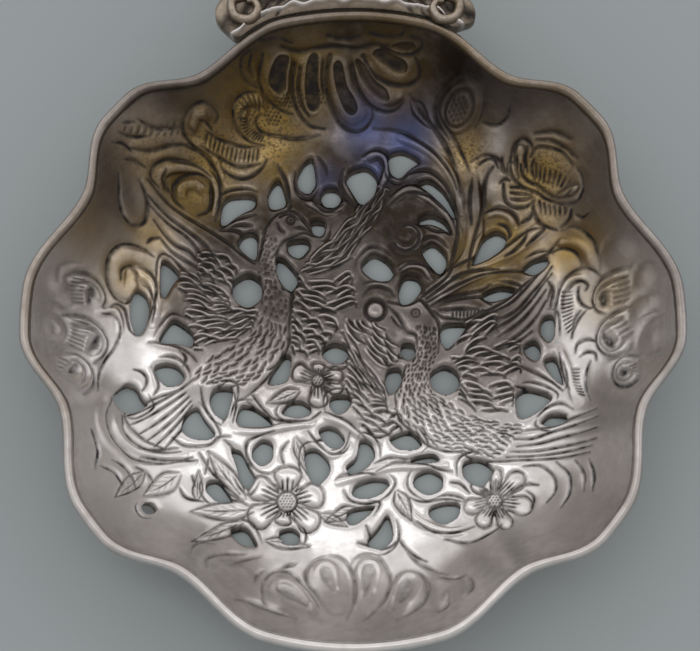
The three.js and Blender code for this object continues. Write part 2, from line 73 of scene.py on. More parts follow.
# Sawn openings, each by its corners in order round it, as in the CAD source
OPENINGS = [
    "-12.4,14.3 -9.3,14.5 -9.2,13.1 -10.8,12.4 -12.7,10.9",
    "-7.0,16.3 -6.1,13.2 -7.9,12.7 -8.2,14.6",
    "-3.9,18.2 -3.6,16.7 -3.5,15.3 -4.2,14.3 -5.2,14.9 -5.4,16.2 -4.7,17.6",
    "-1.0,14.1 -1.5,15.1 -2.7,15.1 -3.2,14.1 -2.7,13.1 -1.5,13.1",
    "-0.3,16.8 1.3,17.3 2.4,16.2 2.1,14.2 0.8,13.1 0.0,14.4 -0.8,15.8",
    "-4.1,11.9 -2.5,11.8 -2.8,10.2 -3.8,10.4",
    "-9.6,10.8 -9.0,10.3 -9.1,7.7 -10.2,8.5 -11.0,9.4 -10.5,10.5",
    "-6.3,9.9 -4.3,10.1 -4.0,9.2 -5.0,8.0 -6.1,8.5",
    "-7.2,8.3 -6.5,8.1 -5.4,6.9 -5.1,5.8 -5.8,4.7 -6.8,5.6 -7.3,6.9",
    "-9.9,6.8 -8.6,6.0 -8.5,4.1 -9.9,3.1 -11.3,4.0 -11.4,5.9",
    "-18.2,8.2 -17.2,7.6 -16.2,6.4 -17.0,5.5 -17.7,4.2 -18.2,4.6",
    "-20.4,5.3 -19.4,4.7 -19.1,3.1 -19.6,0.9 -20.4,0.5 -21.1,2.8",
    "-17.9,1.1 -17.0,2.4 -16.0,1.8 -14.9,0.9 -15.0,-0.6 -16.4,-0.1 -18.4,0.0",
    "-18.8,-2.2 -17.6,-1.8 -16.4,-2.1 -15.6,-3.2 -16.2,-4.1 -17.5,-4.2 -18.3,-3.4",
    "-21.0,-3.7 -20.1,-4.1 -19.6,-5.2 -18.9,-5.9 -20.4,-6.9 -21.6,-6.6 -22.2,-5.2",
    "-15.2,-6.3 -14.5,-6.0 -13.8,-7.2 -12.7,-8.5 -13.2,-9.2 -14.8,-9.2 -16.0,-8.5 -15.9,-7.2",
    "-13.0,-4.2 -11.1,-4.2 -11.3,-5.6 -11.9,-7.5 -13.0,-6.8 -13.5,-5.5",
    "-10.6,-5.8 -9.2,-6.0 -7.4,-7.4 -7.6,-8.0 -11.1,-8.0",
    "-6.3,-1.0 -5.7,-1.3 -6.0,-3.6 -6.9,-4.0 -8.1,-4.1 -7.6,-2.8 -6.9,-1.8",
    "-6.0,-5.5 -4.8,-5.4 -3.8,-6.1 -4.0,-6.9 -5.2,-7.2 -6.9,-6.8",
    "-2.2,-5.0 -0.5,-4.9 0.0,-5.4 -0.6,-6.5 -1.4,-6.9 -2.2,-6.3",
    "-2.7,-0.4 -1.7,0.1 -0.5,-0.4 -0.4,-1.5 -1.2,-2.1 -2.3,-1.9 -3.0,-1.1",
    "3.2,-2.5 4.4,-2.3 4.7,-3.4 4.1,-4.6 3.4,-5.1 2.9,-3.8",
    "8.5,-2.0 9.9,-2.8 10.0,-4.4 8.6,-5.2 7.2,-4.4 7.1,-2.9",
    "0.7,7.6 1.9,8.8 3.2,8.1 4.0,6.9 3.5,5.9 1.9,6.0 0.9,6.8",
    "4.8,6.6 6.2,6.4 6.6,5.2 5.6,3.8 4.5,3.5 4.2,4.8",
    "6.3,9.0 7.6,9.9 8.8,8.7 8.9,7.4 8.2,6.4 7.1,7.6",
    "6.2,12.2 7.5,12.6 8.8,11.9 9.5,10.4 8.4,11.1 7.3,11.5 6.2,11.4",
    "6.0,15.5 7.2,16.1 8.7,14.9 9.8,12.7 9.6,11.8 8.7,13.2 7.2,14.6",
    "3.3,18.5 4.8,18.9 6.7,17.7 5.4,16.9 4.4,15.8 3.5,16.5",
    "11.1,7.3 11.6,8.5 12.3,10.2 13.6,11.0 14.7,10.4 14.3,9.1 12.7,7.9",
    "15.8,7.0 17.0,8.1 18.5,8.4 18.4,7.3 17.0,6.3",
    "12.3,4.9 13.9,5.5 15.5,5.2 14.9,4.4 13.1,3.8 12.1,4.3",
    "8.2,1.9 11.0,2.0 10.3,0.9 8.9,-0.8 8.2,0.0",
    "16.2,-0.1 17.1,0.3 17.7,-0.5 17.4,-1.9 16.4,-1.5 15.9,-0.7",
    "17.8,2.5 19.0,2.8 19.0,0.7 18.4,-0.1 17.5,0.9",
    "17.7,-1.6 19.0,-1.2 19.5,-2.9 19.7,-4.2 18.6,-3.3",
    "15.1,-4.9 16.2,-4.2 18.1,-4.7 18.8,-5.2 17.5,-6.4 16.2,-7.2 15.3,-7.2",
    "17.3,-7.7 18.3,-6.6 19.7,-6.7 19.9,-7.5 18.4,-8.0",
    "-3.4,-8.3 -2.4,-7.8 -1.4,-8.1 -0.6,-9.2 -1.2,-10.1 -2.4,-9.9",
    "-9.4,-9.9 -8.5,-9.0 -7.4,-9.4 -7.4,-11.0 -8.4,-11.8 -9.4,-11.1",
    "-4.5,-10.1 -3.4,-9.9 -2.3,-10.9 -2.0,-12.2 -3.1,-13.5 -4.0,-13.1 -4.5,-11.5",
    "0.6,-9.0 1.7,-9.3 2.2,-10.8 1.0,-12.1 -0.3,-12.5 -0.8,-11.7 0.4,-10.8",
    "3.2,-9.0 4.8,-8.3 5.6,-8.4 6.6,-9.6 5.8,-10.2 4.0,-10.1",
    "0.1,-13.3 1.7,-12.7 3.1,-12.8 3.5,-13.4 2.6,-14.3 1.2,-14.8 -0.2,-14.5",
    "5.7,-12.4 7.1,-11.8 8.4,-12.5 8.3,-13.9 6.9,-14.5 5.5,-13.6",
    "10.1,-11.2 11.7,-10.8 13.1,-11.7 12.7,-12.9 11.9,-13.8 10.2,-12.9",
    "7.0,-15.4 8.5,-14.9 10.0,-15.0 9.8,-16.4 8.4,-17.2 7.0,-16.5",
    "-0.6,-15.6 2.3,-15.2 1.5,-16.2 0.2,-17.2 -0.6,-17.1",
    "3.2,-15.9 3.7,-17.4 3.7,-18.6 2.6,-19.5 1.4,-19.1 1.3,-18.4 2.3,-17.4",
    "-13.6,-13.0 -12.5,-12.8 -11.4,-14.3 -11.0,-15.1 -12.7,-15.0 -13.7,-14.0",
    "-11.5,-9.9 -10.3,-10.2 -9.8,-11.4 -8.9,-12.7 -9.7,-14.1 -10.5,-13.1 -10.8,-11.7",
    "-11.4,-17.4 -9.8,-17.1 -8.5,-19.2 -9.9,-19.1 -10.9,-18.4",
    "-7.0,-17.7 -5.7,-17.3 -4.8,-17.9 -5.0,-19.0 -6.4,-19.0",
    "-17.7,-15.8 -18.1,-15.2 -18.8,-15.2 -19.2,-15.8 -18.8,-16.4 -18.1,-16.4",
    "5.6,-10.7 7.6,-10.4 8.2,-11.2 6.8,-11.4 5.2,-11.3",
    "4.5,0.0 5.8,-0.1 5.9,-1.2 5.2,-1.9 4.4,-1.2",
]


# Shapes of curves

def ease(t):
    """Soft step from 0 to 1 while t goes from 0 to 1."""
    return (1 - np.cos(np.pi * np.clip(t, 0, 1))) / 2


def bell(value, reach):
    """1 at zero, falling off softly on both sides."""
    return np.exp(-(value / reach) ** 2)


def near_edge(distance, reach):
    """1 outside and at the edge of the metal, falling off inwards."""
    return np.exp(-np.clip(distance, 0, None) / reach)


def rim_radius(turn):
    """Outer radius of the rim in directions given in degrees from the handle."""
    turn = np.abs(np.asarray(turn, float))
    low = BOWL_RADIUS - NOTCH_DEPTH
    radius = np.full(turn.shape, RIM_END)
    for (crest, level, notch, inset), (crest2, level2, _, inset2) in zip(LOBES, LOBES[1:]):
        high, high2 = BOWL_RADIUS - inset, BOWL_RADIUS - inset2
        fall = high + (low - high) * ease((turn - crest - level) / (notch - crest - level))
        climb = low + (high2 - low) * ease((turn - notch) / (crest2 - level2 - notch))
        radius = np.where((turn >= crest) & (turn < notch), fall, radius)
        radius = np.where((turn >= notch) & (turn < crest2), climb, radius)
    return radius


def bowl_top_radius(turn):
    """Radius of the inside of the bowl at its edge, which the wire overhangs."""
    return rim_radius(turn) - WIRE_WIDTH + WIRE_OVERHANG


def bowl_height(x, y):
    """Height of the inside of the bowl, before chasing."""
    run = bowl_top_radius(np.degrees(np.arctan2(x, y))) - FLOOR_RADIUS
    climb = np.clip((np.hypot(x, y) - FLOOR_RADIUS) / run, 0, WALL_OVERRUN)
    return SHEET + (EDGE_HEIGHT - SHEET) * climb ** WALL_CURVE


# Lines

def points_of(line):
    """Points as an array, from points or from pairs in a text, such as '1,2 3,4'."""
    if isinstance(line, str):
        line = [pair.split(",") for pair in line.split()]
    return np.array(line, float)


def smooth_line(line, spacing=0.12, closed=False):
    """Smooth curve through the points of a line, with even steps."""
    points = points_of(line)
    if len(points) == 2:
        points = np.vstack([points[0], points.mean(0), points[1]])
    if closed:
        padded = np.vstack([points[-1], points, points[0], points[1]])
    else:
        padded = np.vstack([2 * points[0] - points[1], points, 2 * points[-1] - points[-2]])
    pieces = []
    for a, b, c, d in zip(padded, padded[1:], padded[2:], padded[3:]):
        count = max(2, int(np.linalg.norm(c - b) / spacing))
        t = (np.arange(count) / count)[:, None]
        pieces.append(0.5 * (2 * b + (c - a) * t + (2 * a - 5 * b + 4 * c - d) * t ** 2
                             + (3 * b - a - 3 * c + d) * t ** 3))
    if not closed:
        pieces.append(points[-1:])
    return np.vstack(pieces)


def reach_along(line):
    """Length of a line from its start to each of its points."""
    return np.r_[0, np.cumsum(np.hypot(*np.diff(line, axis=0).T))]


def between(line_a, line_b, share, count=9):
    """Curve part of the way from one line to another."""
    sides = []
    for line in (line_a, line_b):
        fine = smooth_line(line)
        reach = reach_along(fine)
        marks = np.linspace(0, reach[-1], count)
        sides.append(np.stack([np.interp(marks, reach, fine[:, k]) for k in (0, 1)], 1))
    return sides[0] * (1 - share) + sides[1] * share


def turned_left(way):
    """Direction a quarter turn to the left of another."""
    return np.array([-way[1], way[0]])


def heading(turn):
    """Direction in degrees from the handle's end."""
    return np.array([math.sin(math.radians(turn)), math.cos(math.radians(turn))])


def circle(middle, radius, start=0, end=360, count=16):
    """Points round a circle or an arc."""
    turns = np.radians(np.linspace(start, end, count))
    return np.stack([middle[0] + radius * np.cos(turns), middle[1] + radius * np.sin(turns)], 1)


def opening_outline(opening):
    """Outline of one sawn opening: straight between its corners, and curved round each of them."""
    corner = points_of(opening)
    start = corner + OPENING_CURVE * (np.roll(corner, 1, 0) - corner)
    end = corner + OPENING_CURVE * (np.roll(corner, -1, 0) - corner)
    t = np.linspace(0, 1, OPENING_CURVE_STEPS + 1)[None, :, None]
    curve = (1 - t) ** 2 * start[:, None] + 2 * t * (1 - t) * corner[:, None] + t ** 2 * end[:, None]
    return curve.reshape(-1, 2)


# Section of a chased line, in shares of its width: the cut, its soft sides, its dark core, its reach
CUT_WIDTH = 0.45
SIDES_WIDTH = 1.25
CORE_WIDTH = 0.46
GROOVE_REACH = 2.6
# How much of the depth is in the cut and in the soft sides, and the strength of the dark core
CUT_SHARE = 0.66
SIDES_SHARE = 0.34
CORE_STRENGTH = 1.4
# How quickly a groove and a ridge come up to full size from their ends
GROOVE_START = 3
RIDGE_START = 8
# Points of a line that are measured at a time
STRETCH = 8
# A length that is too small to matter
TINY = 1e-12


def lift(field, part, value):
    """Bring a window of a field up to a value where it lies lower."""
    field[part] = np.maximum(field[part], value)


class Relief:
    """Height and darkening of a chased surface over a plan grid, in millimetres: tarnish in its lines, and
    any painted shade added to it.
    """

    def __init__(self, low, high):
        self.low = np.array(low, float)
        xs = np.arange(low[0], high[0] + GRID_STEP, GRID_STEP)
        ys = np.arange(low[1], high[1] + GRID_STEP, GRID_STEP)
        self.x, self.y = np.meshgrid(xs, ys)
        self.groove_field = np.zeros_like(self.x)
        self.raised = np.zeros_like(self.x)
        self.swell = np.zeros_like(self.x)
        self.dark = np.zeros_like(self.x)

    def window(self, points, margin):
        """Rows and columns of the grid that lie round some points."""
        low = np.floor((points.min(0) - margin - self.low) / GRID_STEP).astype(int)
        high = np.ceil((points.max(0) + margin - self.low) / GRID_STEP).astype(int) + 1
        rows = slice(max(low[1], 0), max(high[1], 0))
        columns = slice(max(low[0], 0), max(high[0], 0))
        return rows, columns

    def nearest(self, line, margin, first=0, count=None):
        """Window of the grid round a line, with the distance to it and the share along it."""
        count = count or len(line) - 1
        part = self.window(line, margin)
        x, y = self.x[part], self.y[part]
        best = np.full(x.shape, np.inf)
        share = np.zeros(x.shape)
        for k in range(len(line) - 1):
            ax, ay = line[k]
            bx, by = line[k + 1] - line[k]
            span = bx * bx + by * by + TINY
            t = np.clip(((x - ax) * bx + (y - ay) * by) / span, 0, 1)
            d = (x - ax - t * bx) ** 2 + (y - ay - t * by) ** 2
            closer = d < best
            best = np.where(closer, d, best)
            share = np.where(closer, (first + k + t) / count, share)
        return part, np.sqrt(best), share

    def stretches(self, line, margin):
        """The same as nearest, a short stretch of the line at a time."""
        for first in range(0, len(line) - 1, STRETCH):
            found = self.nearest(line[first:first + STRETCH + 1], margin, first, len(line) - 1)
            if found[1].size:
                yield found

    def groove(self, line, width=0.3, depth=0.24, ends=(0.35, 0.35), dark=1.0):
        """Chased line, thinner at its ends, that holds dark tarnish."""
        line = smooth_line(line, 0.22)
        for part, distance, share in self.stretches(line, GROOVE_REACH * width):
            strength = np.minimum(1, ends[0] + (1 - ends[0]) * share * GROOVE_START)
            strength = np.minimum(strength, ends[1] + (1 - ends[1]) * (1 - share) * GROOVE_START)
            cut = bell(distance, CUT_WIDTH * width * (0.5 + 0.5 * strength))
            profile = CUT_SHARE * cut + SIDES_SHARE * bell(distance, SIDES_WIDTH * width)
            lift(self.groove_field, part, depth * strength * profile)
            shade = CORE_STRENGTH * bell(distance, CORE_WIDTH * width) * np.sqrt(strength) * dark
            lift(self.dark, part, np.minimum(shade, 1))

    def ridge(self, line, width, height):
        """Raised rounded band along a line."""
        line = smooth_line(line, 0.25)
        for part, distance, share in self.stretches(line, width):
            full = np.clip(np.minimum(share, 1 - share) * RIDGE_START, 0, 1)
            crown = np.sqrt(np.clip(1 - (distance / width) ** 2, 0, 1)) * height * (0.3 + 0.7 * full)
            lift(self.raised, part, crown)

    def inside(self, outline, margin=1.0):
        """Window and signed distance to a closed outline, positive inside."""
        part, distance, _ = self.nearest(np.vstack([outline, outline[:1]]), margin)
        x, y = self.x[part], self.y[part]
        odd = np.zeros(x.shape, bool)
        for (ax, ay), (bx, by) in zip(outline, np.roll(outline, -1, 0)):
            if ay != by:
                odd ^= ((ay > y) != (by > y)) & (x < (bx - ax) * (y - ay) / (by - ay) + ax)
        return part, np.where(odd, distance, -distance)

    def dome(self, outline, height, edge=0.6, is_fine=False):
        """Raised shape with rounded shoulders inside an outline."""
        outline = outline if is_fine else smooth_line(outline, 0.3, True)
        part, signed = self.inside(outline, 0.2)
        lift(self.raised, part, height * (1 - near_edge(signed, edge)))

    def volume(self, outline, height):
        """Body or wing that stands up softly from the ground."""
        part, signed = self.inside(smooth_line(outline, 0.5, True), 0.2)
        lift(self.swell, part, height * (signed > 0))

    def sink(self, outline, depth, dark=1.0, edge=0.15):
        """Sunk shape, such as the dark drop in a petal."""
        part, signed = self.inside(smooth_line(outline, 0.2, True), 0.4)
        share = np.clip(signed / edge + 0.5, 0, 1)
        lift(self.groove_field, part, depth * share)
        lift(self.dark, part, dark * share)

    def chased(self, softness=0.08):
        """Height of the raised shapes and the chased lines together."""
        return blur(self.raised, softness) - blur(self.groove_field, 0.035)


def blur(field, radius):
    """Gaussian blur with a radius in millimetres."""
    reach = max(1, int(math.ceil(3 * radius / GRID_STEP)))
    kernel = np.exp(-0.5 * (np.arange(-reach, reach + 1) * GRID_STEP / radius) ** 2)
    kernel /= kernel.sum()
    for axis in (0, 1):
        padded = np.pad(field, [(reach, reach) if k == axis else (0, 0) for k in (0, 1)], mode="edge")
        total = np.zeros_like(field)
        for k, weight in enumerate(kernel):
            cut = slice(k, k + field.shape[axis])
            total += weight * (padded[cut, :] if axis == 0 else padded[:, cut])
        field = total
    return field


# Chased ornament in millimetres seen from above, handle's end up, a text for each line of the tool

NORTH_FAN_DROPS = [
    ("-7.9,24.0 -7.7,25.1 -7.0,26.0 -6.0,26.0 -6.3,24.9 -6.4,23.8 -7.0,23.4", 1.0),
    ("-4.5,23.4 -4.5,24.8 -4.1,26.2 -3.3,26.3 -3.3,24.6 -3.1,23.1 -3.5,22.3 -4.2,22.4", 1.0),
    ("-1.8,25.8 -1.7,24.6 -1.2,23.3 -0.6,22.3 0.0,22.1 0.4,22.6 0.1,23.4 -0.6,24.3 -1.1,25.9", 0.95),
    ("0.3,26.0 0.8,24.8 1.8,23.7 2.8,23.1 3.4,23.3 3.1,24.0 2.1,24.7 1.1,25.8", 0.6),
    ("1.9,26.4 3.0,25.6 4.3,25.0 5.0,25.2 4.8,25.8 3.6,26.3 2.6,26.7", 0.95),
    ("3.6,26.8 4.6,26.4 5.7,26.5 5.6,26.9 4.6,27.0", 0.6),
]
NORTH_FAN_LOOPS = [
    "-5.5,25.6 -5.7,24.2 -5.5,22.8 -4.9,21.7 -4.0,21.0 -2.7,20.8",
    "-5.0,25.4 -5.2,24.0 -4.9,22.7 -4.2,21.8",
    "-2.1,26.3 -2.6,25.0 -2.4,23.4 -1.8,22.0 -0.9,21.0 0.2,20.6 1.2,20.9 1.9,21.9 1.8,22.5",
    "-2.8,25.8 -2.9,24.6 -2.7,23.4",
    "-0.1,25.6 0.4,24.2 1.4,22.9 2.8,22.2 4.0,22.3 4.8,22.9",
    "0.9,26.3 2.2,24.9 3.8,24.2 5.2,24.1 6.1,24.5 6.2,25.2 5.8,26.0",
    "-8.4,25.9 -8.7,24.5 -8.4,23.2 -7.4,22.4 -6.4,22.0 -5.7,21.9",
    "-9.0,26.2 -10.2,25.3 -10.4,24.3 -9.7,23.6 -8.9,23.5",
    "-9.4,25.6 -9.6,24.8 -9.2,24.2",
    "2.6,26.9 4.0,26.3 5.5,26.2 6.4,26.6 6.2,27.2 5.3,27.4",
    "1.6,27.8 3.0,27.5 4.4,27.5 4.9,28.1",
    "-6.6,26.6 -5.0,26.4 -3.4,26.7 -1.8,26.9 0.2,26.7 1.8,27.0 3.4,26.9",
    "-9.6,27.2 -8.4,26.8 -7.0,27.2 -5.6,26.9",
    "-2.4,27.6 -1.0,27.4 0.6,27.6",
    "1.2,25.4 2.2,24.4 3.2,23.9",
]
NORTH_GROUND_LINES = [
    "-8.0,20.2 -6.4,19.8 -5.0,19.8 -3.2,20.2",
    "-3.4,18.2 -2.6,17.0 -2.5,16.3",
]

SCROLL_LINES = [
    # the scroll and its hatched crescent at the upper left
    "-15.8,20.2 -15.0,21.0 -14.0,21.4 -13.1,21.2 -12.6,20.7 -13.0,20.2",
    "-15.8,20.2 -15.9,19.3 -15.2,18.5 -14.2,18.1",
    "-13.8,19.6 -12.6,19.1 -10.6,18.8 -8.8,19.0",
    "-14.4,18.6 -13.0,17.9 -11.0,17.1 -8.8,17.4",
    "-12.6,17.0 -11.6,16.2 -10.2,16.0 -8.9,16.8 -8.2,17.8",
    "-14.4,20.4 -13.6,20.0 -13.2,19.6",
    # the ribbed curl
    "-9.1,23.2 -10.2,22.8 -11.1,21.9 -11.2,20.9 -10.7,19.9 -9.7,19.3 -8.5,19.1",
    "-9.0,22.0 -9.9,22.0 -10.6,21.4 -10.6,20.6",
    "-8.8,21.6 -9.2,21.0 -8.9,20.4 -8.2,20.1 -7.0,20.0 -5.6,19.9 -4.2,20.1",
    # the round scroll under it
    "-16.2,18.5 -14.2,17.8 -13.1,16.6 -12.6,15.0 -12.7,13.3 -13.1,11.8",
    "-13.5,16.0 -14.6,16.8 -16.0,17.1 -17.5,17.0 -18.6,16.3 -19.0,15.3 -18.4,14.6",
    "-13.6,15.7 -14.6,16.2 -15.9,15.9 -16.9,14.9 -16.9,13.7 -16.1,12.9",
    "-14.7,12.3 -13.8,12.8 -13.5,13.9 -13.6,15.7",
    "-17.7,16.3 -17.9,15.3 -17.2,14.2",
    "-20.8,17.2 -18.9,17.4 -17.3,18.1 -15.6,18.5",
    "-21.6,18.2 -20.4,18.1 -19.2,18.5",
    "-21.2,16.2 -20.2,16.3 -19.4,16.0",
    "-22.2,17.2 -21.2,17.4 -20.4,16.9",
    "-19.8,19.6 -18.6,19.2 -17.2,19.4 -16.4,19.6",
    "-21.2,19.0 -20.2,19.3",
    # the boss on the left wall
    "-21.7,14.9 -21.6,12.6 -21.3,11.3 -20.5,10.7 -19.6,11.2 -19.4,13.0 -20.0,14.9",
    # the golden spiral at the left
    "-18.8,8.2 -19.6,8.8 -20.8,9.0 -21.8,8.6 -22.6,7.6 -22.9,6.4 -22.8,5.0 -22.2,4.0 -21.4,3.6",
    "-21.9,5.8 -21.8,6.6 -21.3,7.0 -20.8,7.1 -20.4,6.6 -20.3,5.8",
    "-20.6,7.1 -19.6,7.0 -18.8,6.3 -18.5,5.2 -18.7,3.9 -19.1,2.4",
    "-20.5,4.6 -20.9,3.9 -21.4,3.6",
    "-19.4,9.4 -18.9,9.9 -18.3,10.0",
    "-22.7,3.1 -22.1,3.5 -21.4,3.1 -21.1,2.2 -20.9,1.2 -20.4,0.7",
    "-23.4,2.4 -22.5,2.4 -21.9,1.7 -21.8,0.6 -22.2,-0.6 -23.0,-2.0 -23.4,-3.4 -23.4,-5.2",
    # the white leaf mass at the left
    "-19.2,0.0 -17.6,0.0 -16.2,-0.5 -15.2,-1.2 -14.6,-1.9",
    "-16.3,-0.7 -15.7,-1.4 -15.9,-2.3",
    "-20.5,-2.6 -19.8,-2.8 -19.3,-3.4 -19.4,-4.2 -19.7,-4.6",
    "-18.9,-2.3 -18.4,-3.2 -18.2,-4.2 -18.6,-5.0",
    "-22.2,-5.6 -22.6,-7.6 -22.0,-9.6 -20.6,-11.0 -18.8,-11.4 -17.0,-11.4 -14.9,-10.9",
    "-21.3,-7.2 -21.0,-8.8 -19.6,-10.0 -17.8,-10.4 -16.0,-10.3",
    "-21.9,-11.6 -21.0,-12.0 -20.3,-12.8 -19.9,-14.0",
    "-22.8,-12.4 -21.6,-12.8 -20.9,-13.9",
    "-23.6,-9.2 -23.0,-11.0 -23.2,-12.8",
    "-19.9,-12.0 -18.9,-12.4 -18.4,-13.2",
    "-14.2,-4.4 -13.9,-6.0 -13.0,-7.4 -12.3,-7.8",
    "-15.2,-6.2 -14.6,-7.4 -13.4,-8.4 -12.9,-8.9",
    "-16.8,-9.0 -15.6,-9.8 -13.4,-9.7 -12.6,-9.0 -11.4,-8.9",
    "-14.3,-10.4 -13.3,-12.0 -12.0,-13.4 -10.6,-14.6",
    "-16.2,-13.4 -15.4,-14.6 -13.8,-15.0",
    "-14.9,-12.6 -14.6,-13.6",
    "-13.4,-11.0 -13.7,-12.4",
    "-19.9,-10.2 -18.2,-10.2 -16.2,-10.0",
    "-19.6,-11.0 -17.2,-11.2 -14.4,-11.2",
    # the plume behind the first bird's head
    "-12.6,10.8 -11.8,11.6 -10.6,12.1 -9.2,12.4",
    "-12.6,10.8 -11.4,10.9 -10.4,10.4 -9.9,9.7",
    "-11.8,11.1 -10.8,11.4 -9.6,11.3",
    # stems between the openings in the middle and lower part
    "-12.0,-9.2 -11.2,-10.0 -10.8,-11.0",
    "-7.3,-8.4 -8.6,-8.8 -9.8,-9.4 -9.9,-10.6 -9.0,-12.0 -7.8,-12.4 -7.2,-12.0",
    "-6.4,-11.6 -6.7,-10.4 -6.0,-9.4",
    "-9.9,-5.6 -8.6,-6.6 -7.2,-7.3 -5.4,-7.4 -4.0,-7.3 -3.0,-6.6",
    "-4.2,-8.4 -2.9,-9.9 -1.8,-10.6 -0.8,-10.0 -0.3,-8.6",
    "-3.6,-9.4 -2.0,-8.9",
    "-2.6,-6.6 -1.0,-7.2 0.3,-8.2 1.4,-9.4",
    "1.0,-8.0 2.2,-9.0 3.6,-8.6",
    "-1.6,-12.9 -0.6,-12.4 0.9,-12.3 2.0,-12.5",
    "-0.9,-14.0 -0.2,-14.9 1.2,-15.2 2.6,-14.9",
    "2.2,-12.2 4.0,-11.3 6.4,-11.4 8.0,-12.0 9.2,-12.2",
    "2.0,-11.4 3.4,-10.9 5.0,-11.0 6.6,-10.8",
    "4.2,-18.5 4.9,-19.4 6.0,-20.2 6.8,-20.6",
    "4.3,-18.5 3.6,-19.1 2.6,-19.4",
    "0.4,-18.8 1.4,-19.0 2.4,-18.9",
    "1.2,-17.2 1.8,-18.4 3.2,-19.2",
    "5.2,-14.6 6.4,-15.0 8.6,-14.8 10.2,-15.0",
    "5.9,-16.9 7.4,-17.8 9.5,-17.9 11.2,-17.3",
    "8.4,-18.5 10.5,-18.8 12.3,-18.1 13.6,-17.3",
    "9.0,-13.2 10.0,-13.4 10.8,-14.2",
    "15.8,-11.7 17.4,-11.7 18.5,-12.8 18.5,-14.2 17.7,-15.3",
    "18.8,-11.4 19.8,-12.7 19.7,-14.5 18.9,-15.9",
    "20.4,-11.4 21.0,-12.8 20.9,-14.5",
    "21.5,-11.4 21.8,-13.0 21.6,-14.6",
    "14.5,-14.2 16.0,-13.4 17.1,-13.5",
    "16.4,-15.8 16.6,-14.6 16.0,-14.0",
    # the scrolls that rise beside the upper openings
    "5.4,23.4 6.8,21.7 8.3,19.7 9.4,17.8 10.0,16.0 10.2,14.6",
    "2.0,20.8 4.3,20.6 6.0,19.8 8.0,18.3 9.3,16.4 9.9,14.8",
    "8.0,22.0 9.3,20.0 10.5,18.0 11.1,16.7",
    "7.7,21.0 8.9,19.0 9.9,17.0",
    "8.3,23.6 7.7,22.3 8.0,21.0 9.2,19.6",
    "11.2,17.5 12.3,17.9 13.4,17.7 14.2,17.0 14.6,16.0",
    "12.0,11.9 12.4,13.6 12.5,15.4 13.0,16.8",
    "12.2,20.4 13.4,20.0 14.4,20.4 14.6,21.2",
    "0.9,18.2 2.0,18.8 3.3,18.4 3.7,17.3 3.5,16.0 2.8,14.9",
    "1.6,17.6 2.5,17.9 2.9,17.0 2.6,16.2",
    "4.3,15.4 5.4,16.5 7.3,16.7 8.9,15.2 9.8,12.7",
    "3.4,13.2 5.0,14.4 7.0,14.3 8.9,13.0 9.9,10.5",
    "3.5,10.7 3.9,9.4 5.0,8.8 6.1,9.5 6.2,10.7 5.4,11.4 4.2,11.2",
    "4.4,7.0 5.4,7.6 6.8,7.4 7.4,6.4",
    "9.9,12.4 9.9,10.4 9.5,8.4 9.0,7.0",
    "12.0,11.8 11.5,10.0 11.1,8.4 10.9,6.9",
    "11.4,16.0 11.1,13.8 11.2,11.4",
    "-7.2,17.3 -6.4,15.6 -6.0,13.6",
    "-5.5,16.6 -5.4,15.0 -4.6,14.0",
    "-0.9,16.9 -1.2,15.6 -0.9,14.4 0.0,13.2",
    "-3.7,13.4 -2.4,12.7 -1.0,13.3",
    # the branch to the peony
    "8.9,7.0 11.6,8.2 14.3,9.3 16.6,10.8 18.1,11.0",
    "9.3,6.2 11.6,6.9 13.8,7.0",
    "14.4,8.3 15.2,8.8 16.0,9.6 16.4,10.3 16.5,10.9",
    "16.4,9.3 17.3,10.1 18.1,10.9 17.7,11.5",
    "16.9,7.7 18.3,8.5 19.4,9.7",
    "12.6,12.6 13.8,13.1 14.8,12.9 15.5,12.2 15.8,11.4",
    "13.8,11.5 14.6,11.2 14.9,10.4 14.5,9.9",
    # the scrolls at the right
    "19.6,10.5 20.5,10.6 21.5,9.8 22.4,8.6 22.9,7.2",
    "18.7,8.6 19.6,8.9 20.6,8.5 21.2,7.7 21.4,6.9",
    "19.0,2.0 19.1,3.6 19.5,5.2 20.2,6.3 21.2,6.8 22.2,6.6 23.1,5.8",
    "20.3,5.0 20.8,5.6 21.5,5.7 22.0,5.2 21.8,4.8",
    "21.2,5.2 21.1,4.3 21.5,3.5 22.2,3.1 22.8,3.3",
    "21.9,3.0 21.2,2.3 20.7,1.3 20.5,0.4",
    "18.3,6.0 18.9,5.0 18.6,3.2",
    "20.6,1.4 20.9,2.4 21.4,3.0",
    "20.8,-1.0 21.0,-0.2 21.8,0.2 22.6,-0.1 22.9,-0.8",
    "21.2,-1.4 21.8,-1.0 22.5,-1.2 22.6,-1.9",
    "22.1,-1.9 21.7,-3.0 21.6,-4.4 21.9,-5.8",
    "17.2,-7.0 18.2,-6.1 19.4,-5.8 20.4,-6.4",
    "17.9,-7.4 18.8,-6.8 19.8,-6.9",
    "19.3,-1.0 19.6,-3.0 20.2,-4.6",
    "14.5,-2.0 16.4,-2.6 18.4,-3.6 19.6,-4.6",
    "15.0,-4.2 16.8,-4.5 18.2,-4.8",
]

